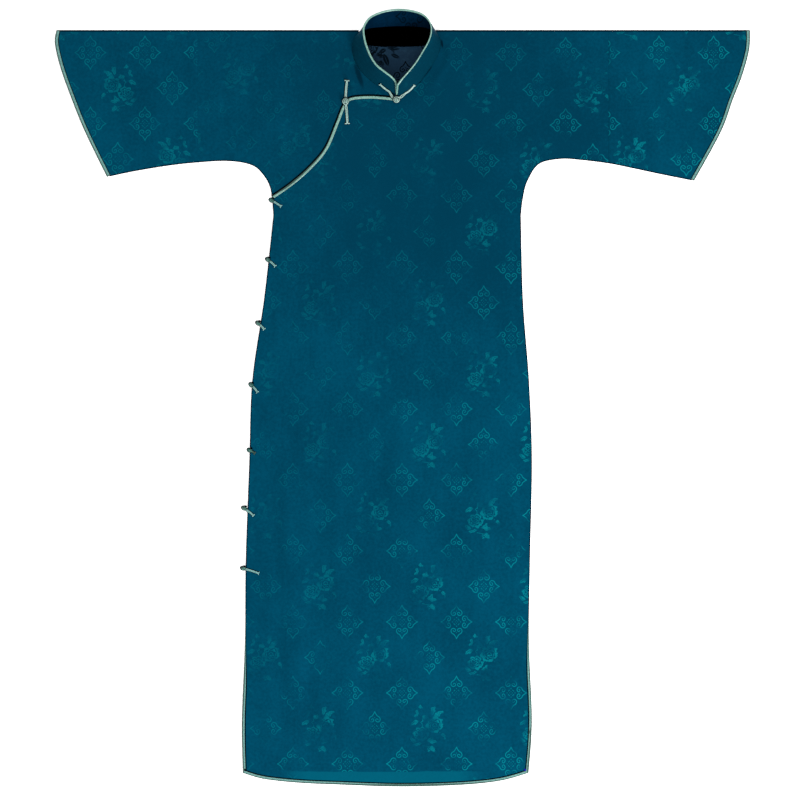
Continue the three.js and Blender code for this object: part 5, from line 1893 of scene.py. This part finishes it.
@dataclass
class Fastenings:
    """The nine knotted fastenings: each a loop half and a knot half of doubled satin cord."""

    finishes: Finishes
    collar: Collar
    cord: float = 0.95
    pitch: float = 1.95
    end_reach: float = 4.1
    side_end_reach: float = 2.7
    seat_out: float = 0.95
    seat_height: float = 0.28
    knot: float = 3.5
    loop: float = 4.5
    side_knot: float = 2.9
    side_loop: float = 3.5
    side_slim: float = 0.8
    side_narrow: float = 0.68
    strand: float = 0.74
    strand_sides: int = 7
    step: float = 0.8
    collar_end_reach: float = 2.7
    seat_shift: tuple[float, float, float] = (-0.4, 0.4, 0.0)
    shadow_blob_place: tuple[float, float, float] = (2.1, 3.4, -0.3)
    shadow_blob_reach: tuple[float, float, float] = (2.9, 2.1, 0.8)
    overlap_place: tuple[float, float] = (-96.5, 498.0)
    neck_place: tuple[float, float] = (-10.8, 501.0)
    right_leg: tuple[float, float] = (0.84, 0.8)
    overlap_down: tuple[float, float] = (3.0, -37.0)
    overlap_up: tuple[float, float] = (2.5, 35.0)
    ball_turns: int = 3
    ball_points: int = 144
    ball_swing: float = 56.0
    ball_weave: float = 0.42

    # Name, y, how far beyond the edge the knot lies, and the leg's far end from it
    SIDE_ROWS: ClassVar = [("side_1", 331.8, 1.3, 15.9, -10), ("side_2", 232.3, 1.3, 12.4, -11),
                           ("side_3", 125.4, 4.2, 10.4, -10), ("side_4", 21.8, 1.3, 10.6, -12),
                           ("side_5", -88, 0.2, 8.9, -5), ("side_6", -185.4, 5.8, 15.9, -12),
                           ("side_7", -286.4, 4.4, 26.3, -8)]
    IN_SHADE: ClassVar = "side_5"
    # The share round the collar from its front end and the share of its height, of the left leg
    COLLAR_LEG: ClassVar = [(0.115, 0.21), (0.1, 0.18), (0.085, 0.15), (0.07, 0.125), (0.055, 0.1)]

    def woven_ball(self, middle: np.ndarray, tilt: float, size: float, narrow: float = 1.0) -> Skin:
        """Makes the knot: one cord that passes over and under itself round a ball.

        Args:
            middle: The ball's middle.
            tilt: How far its pole leans, in radians.
            size: The ball's radius.
            narrow: Its size along Y as a share of that.

        Returns:
            The knot with its filled core, black as painted shade in the gaps between the strands.
        """
        turns = np.linspace(0, 2 * math.pi * self.ball_turns, self.ball_points + 1)[:-1]
        high = math.radians(self.ball_swing) * np.cos(4 * turns / self.ball_turns)
        reach = size - self.strand - 0.1 + self.ball_weave * np.sin(8 * turns / self.ball_turns)
        ball = np.column_stack([reach * np.cos(high) * np.cos(turns), reach * np.cos(high) * np.sin(turns),
                                reach * np.sin(high)])
        cosine, sine = math.cos(tilt), math.sin(tilt)
        turn = np.array([[1, 0, 0], [0, cosine, -sine], [0, sine, cosine]])
        out = ball @ turn.T * (1, narrow, 1)
        path = middle + out
        closed = np.vstack([path[-1:], path, path[:1]])
        ahead = np.gradient(closed, axis=0)[1:-1]
        side = np.cross(out, ahead)
        side /= np.linalg.norm(side, axis=1)[:, None]
        lift = np.cross(ahead, side)
        lift /= np.linalg.norm(lift, axis=1)[:, None]
        strands = sweep(path, side, lift, round_section(self.strand, self.strand, self.strand_sides),
                        closed=True)
        # The core is black: painted shade seen through the gaps between the strands
        core = size - 1.5
        return Skin.joined([strands, filled_ball(middle, (core, core * narrow, core), 1)])

    def doubled(self, places: np.ndarray, ups: np.ndarray, loop: np.ndarray, reach: float,
                slim: float = 1.0) -> Skin:
        """Makes both cords of a leg and the loop between them, on a dark strip: the stitches that hold them,
        and the painted shadow round them.

        Args:
            places: The leg's middle line, from its far end to the knot.
            ups: The direction off what it lies on, at each place.
            loop: Points round the knot, from the left cord to the right one.
            reach: How far the cord's ends are turned out.
            slim: The cord's thickness as a share of the usual one.

        Returns:
            The cord and its dark strip of stitches and painted shadow.
        """
        side, _ = turning_frames(places, ups)
        radius = self.cord * slim
        left, right = places + side * self.pitch * slim / 2, places - side * self.pitch * slim / 2
        start, stop = places[0] + side[0] * reach, places[0] - side[0] * reach
        rows = np.vstack([start[None], left, loop, right[::-1], stop[None]])
        above = np.vstack([ups[:1], ups, np.tile(ups[-1], (len(loop), 1)), ups[::-1], ups[:1]])
        fine = even(through(np.hstack([rows, above]), 12, centripetal=True), self.step)
        path, off = fine[:, :3], fine[:, 3:]
        off /= np.linalg.norm(off, axis=1)[:, None]
        across, lift = turning_frames(path, off)
        # The dark strip under the cords: stitches, and painted contact shadow beside them
        section = round_section(radius + self.seat_out, self.seat_height, CORD_SIDES)
        seat = sweep(path - off * self.cord * 0.8 + self.seat_shift, across, lift, section, finish=1)
        cord = tube(path, radius)
        middles = np.array([cord.points[list(face)].mean(axis=0) for face in cord.faces])
        knot = loop.mean(axis=0)
        round_it = np.linalg.norm(middles[:, :2] - knot[:2], axis=1) < self.loop + self.cord
        cord.finishes = [2 if near and len(loop) > 1 else 0 for near in round_it]
        return Skin.joined([cord, seat])

    def leg(self, middle: np.ndarray, far: tuple[float, float], top: HeightAt, nearest: float) -> np.ndarray:
        """Draws a leg that lies on the cloth.

        Args:
            middle: The knot's middle.
            far: The leg's far end, from the knot.
            top: The height of the cloth under it.
            nearest: How near to the knot it comes.

        Returns:
            Its middle line, from its far end.
        """
        reach = math.hypot(*far)
        shares = np.linspace(1, nearest / reach, 6)
        x, y = middle[0] + far[0] * shares, middle[1] + far[1] * shares
        bend = np.sin(np.pi * (1 - shares)) * 0.5
        x, y = x - far[1] / reach * bend, y + far[0] / reach * bend
        return np.column_stack([x, y, top(x, y) + self.cord * 0.95])

    def round_knot(self, middle: np.ndarray, towards: np.ndarray, reach: float,
                   narrow: float = 1.0) -> np.ndarray:
        """Draws the loop round a knot's foot.

        Args:
            middle: The knot's middle.
            towards: The near end of the loop's leg.
            reach: The loop's radius.
            narrow: Its size across the leg as a share of that.

        Returns:
            The loop's points, starting beside its own leg.
        """
        ahead = towards - middle
        ahead[2] = 0
        ahead /= np.linalg.norm(ahead)
        aside = np.array([ahead[1], -ahead[0], 0.0])
        turns = np.radians([50, 90, 135, 180, 225, 270, 310])
        return middle + reach * (np.cos(turns)[:, None] * ahead - narrow * np.sin(turns)[:, None] * aside)

    def bed(self, x: float, y: float) -> float:
        """Gives the height of the big front's upper face at one place."""
        return float(self.big_top(np.array([x]), np.array([y]))[0])

    def big_top(self, x: np.ndarray, y: np.ndarray) -> np.ndarray:
        """Gives the big front's upper face."""
        return FORM.upper(x, y) + WALL

    def small_top(self, x: np.ndarray, y: np.ndarray) -> np.ndarray:
        """Gives the small front's upper face."""
        return FORM.lower(x, y) + WALL

    def finish(self, name: str, loop: Skin, knot: Skin, satin: Material,
               cord: Material) -> list[Piece]:
        """Turns the halves of one fastening into pieces.

        Args:
            name: The fastening's name.
            loop: The half with the loop.
            knot: The half with the knot.
            satin: The finish of the knot and the loop round it.
            cord: The finish of the loop's leg.

        Returns:
            The two pieces.
        """
        under = self.finishes.stitches_and_shade
        return [loop.piece(f"cord_{name}_loop", "binding", [cord, under, satin], [f"frog_{name}_loop"]),
                knot.piece(f"cord_{name}_knot", "binding", [satin, under], [f"frog_{name}_knot"])]

    def side(self, name: str, y: float, beyond: float, far: tuple[float, float],
             tilt: float) -> list[Piece]:
        """Makes a fastening of the side opening.

        Args:
            name: Its name.
            y: Its place down the side.
            beyond: How far outside the edge its knot lies.
            far: The far end of its leg, from the knot.
            tilt: How far the knot leans, in radians.

        Returns:
            Its two pieces.
        """
        edge_x = crossing(PLAN.left_outline(), y)
        middle = np.array([edge_x - beyond, y, self.bed(edge_x + 1.0, y) + self.cord])
        leg = self.leg(middle, far, self.big_top, self.side_loop + 1.5)
        ring = self.round_knot(middle, leg[-1], self.side_loop, self.side_narrow)
        loop = self.doubled(leg, upright(leg), ring, self.side_end_reach, self.side_slim)
        knot_at = middle + (0, 0, 1.3)
        outside = edge_x - beyond - 0.6
        shank = tube(even(through([knot_at, (outside, y, WALL + 0.8), (outside + 0.6, y, WALL),
                                   (edge_x + 1.0, y, WALL)], 8, centripetal=True), 0.6), self.cord * 0.8)
        # Painted shadow: a black blob by the knot's upper right, where it shades the cloth
        wrap = filled_ball(middle + self.shadow_blob_place, self.shadow_blob_reach, 1)
        knot = Skin.joined([self.woven_ball(knot_at, tilt, self.side_knot, self.side_narrow), shank, wrap])
        cord = self.finishes.binding_shade if name == self.IN_SHADE else self.finishes.side_cord
        return self.finish(name, loop, knot, self.finishes.side_knot, cord)

    def overlap(self) -> list[Piece]:
        """Makes the fastening at the overlap's corner."""
        middle = np.array([*self.overlap_place, self.bed(*self.overlap_place) + 2.6])
        down = self.leg(middle, self.overlap_down, self.big_top, self.loop + 3.5)
        rise = self.leg(middle, self.overlap_up, self.small_top, self.loop + 2.0)
        loop = self.doubled(down, upright(down), self.round_knot(middle, down[-1], self.loop), self.end_reach)
        knot_at = middle + (0, 0, 1.6)
        own = self.doubled(rise, upright(rise), (knot_at + (0, -1, -2.4))[None], self.end_reach)
        knot = Skin.joined([self.woven_ball(knot_at, 0.5, self.knot), own])
        return self.finish("lapel", loop, knot, self.finishes.cord, self.finishes.cord)

    def on_collar(self, side: float) -> tuple[np.ndarray, np.ndarray]:
        """Draws a leg that lies on the collar.

        Args:
            side: 1 for the right front end and -1 for the left one.

        Returns:
            Its middle line and the direction off the collar, from its far end.
        """
        _, out = self.collar.frames()
        count = len(self.collar.foot)
        places, ups = [], []
        for share, rise in self.COLLAR_LEG:
            if side > 0:
                share, rise = share * self.right_leg[0], rise * self.right_leg[1]
            k = round((share if side > 0 else 1 - share) * (count - 1))
            place = self.collar.foot[k] * (1 - rise) + self.collar.top[k] * rise
            places.append(place + out[k] * (self.collar.wall / 2 + 0.3 + self.cord))
            ups.append(out[k])
        x, y = CENTRE_FRONT_X + side * 6.2, 504.6
        z = self.bed(x, y) + self.cord + 0.4
        return np.array([*places, (x, y, z)]), np.array([*ups, (0.0, 0.0, 1.0)])

    def neck(self) -> list[Piece]:
        """Makes the fastening at the foot of the collar."""
        middle = np.array([*self.neck_place, self.bed(*self.neck_place) + 3.6])
        right, right_up = self.on_collar(1.0)
        left, left_up = self.on_collar(-1.0)
        ring = self.round_knot(middle, right[-1], self.loop)
        loop = self.doubled(right, right_up, ring, self.collar_end_reach)
        knot_at = middle + (0, 0, 1.5)
        own = self.doubled(left, left_up, (knot_at + (0.5, -1, -2.2))[None], self.collar_end_reach)
        knot = Skin.joined([self.woven_ball(knot_at, 0.9, self.knot), own])
        return self.finish("collar", loop, knot, self.finishes.cord, self.finishes.cord)

    def build(self) -> dict[str, list[Piece]]:
        """Makes all nine fastenings.

        Returns:
            The pieces on the big front and those on the collar.
        """
        made: list[Piece] = []
        for i, (name, y, beyond, leg_x, leg_y) in enumerate(self.SIDE_ROWS):
            made += self.side(name, y, beyond, (leg_x, leg_y), 0.4 + 0.35 * i)
        return {"front": made + self.overlap(), "collar": self.neck()}


@dataclass
class Studio:
    """The plain pale floor, the soft light and the camera straight above."""

    distance: float = 12.0
    across: float = 1.344
    centre: tuple[float, float] = (-0.005, -0.0034)
    glow: float = 1.3
    key_place: tuple[float, float, float] = (2.0, -2.6, 1.9)
    key_power: float = 205.0
    key_size: float = 1.3
    floor_half: float = 12.0
    floor_height: float = -0.0004

    def build(self) -> None:
        """Makes the floor, the light and the camera."""
        scene = bpy.context.scene
        scene.view_settings.view_transform = "Standard"
        scene.view_settings.look = "None"
        world = bpy.data.worlds.new("studio")
        scene.world = world
        world.use_nodes = True
        background = world.node_tree.nodes["Background"]
        background.inputs["Color"].default_value = (1.0, 1.0, 1.0, 1.0)
        background.inputs["Strength"].default_value = self.glow
        self.floor()
        self.light("key")
        camera = bpy.data.objects.new("camera", bpy.data.cameras.new("camera"))
        camera.data.type = "PERSP"
        camera.data.sensor_width = 36.0
        camera.data.lens = camera.data.sensor_width * self.distance / self.across
        camera.data.clip_end = 100.0
        camera.location = (*self.centre, self.distance)
        scene.collection.objects.link(camera)
        scene.camera = camera

    def floor(self) -> None:
        """Makes the pale floor just under the garment."""
        half, low = self.floor_half, self.floor_height
        corners = [(-half, -half, low), (half, -half, low), (half, half, low), (-half, half, low)]
        mesh = bpy.data.meshes.new("floor")
        mesh.from_pydata(corners, [], [(0, 1, 2, 3)])
        material, _, shader = fresh_material("floor paint")
        shader.inputs["Base Color"].default_value = (0.97, 0.97, 0.97, 1.0)
        shader.inputs["Roughness"].default_value = 1.0
        shader.inputs["Specular IOR Level"].default_value = 0.0
        shader.inputs["Emission Color"].default_value = (1.0, 1.0, 1.0, 1.0)
        shader.inputs["Emission Strength"].default_value = 0.3
        mesh.materials.append(material)
        floor = bpy.data.objects.new("floor", mesh)
        bpy.context.scene.collection.objects.link(floor)

    def light(self, name: str) -> None:
        """Adds the square soft light that faces the garment."""
        data = bpy.data.lights.new(name, "AREA")
        data.energy = self.key_power
        data.size = self.key_size
        lamp = bpy.data.objects.new(name, data)
        lamp.location = self.key_place
        lamp.rotation_euler = (-Vector(self.key_place)).to_track_quat("-Z", "Y").to_euler()
        lamp.visible_camera = False
        bpy.context.scene.collection.objects.link(lamp)


def main() -> None:
    """Builds the whole scene in order."""
    logging.basicConfig(level=logging.INFO, format="%(message)s")
    Studio().build()
    finishes = Finishes()
    body = Body(finishes)
    panels = body.build()
    Sleeve("left", PLAN.underarm_left, PLAN.cuff_left, finishes.sleeve_left, finishes).build()
    Sleeve("right", PLAN.underarm_right, PLAN.cuff_right, finishes.sleeve_right, finishes).build()
    collar = Collar(finishes)
    band = collar.build()
    cords = Fastenings(finishes, collar).build()
    body.declare(panels, cords["front"])
    collar.declare(band, cords["collar"])
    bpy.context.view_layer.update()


if __name__ == "__main__":
    main()
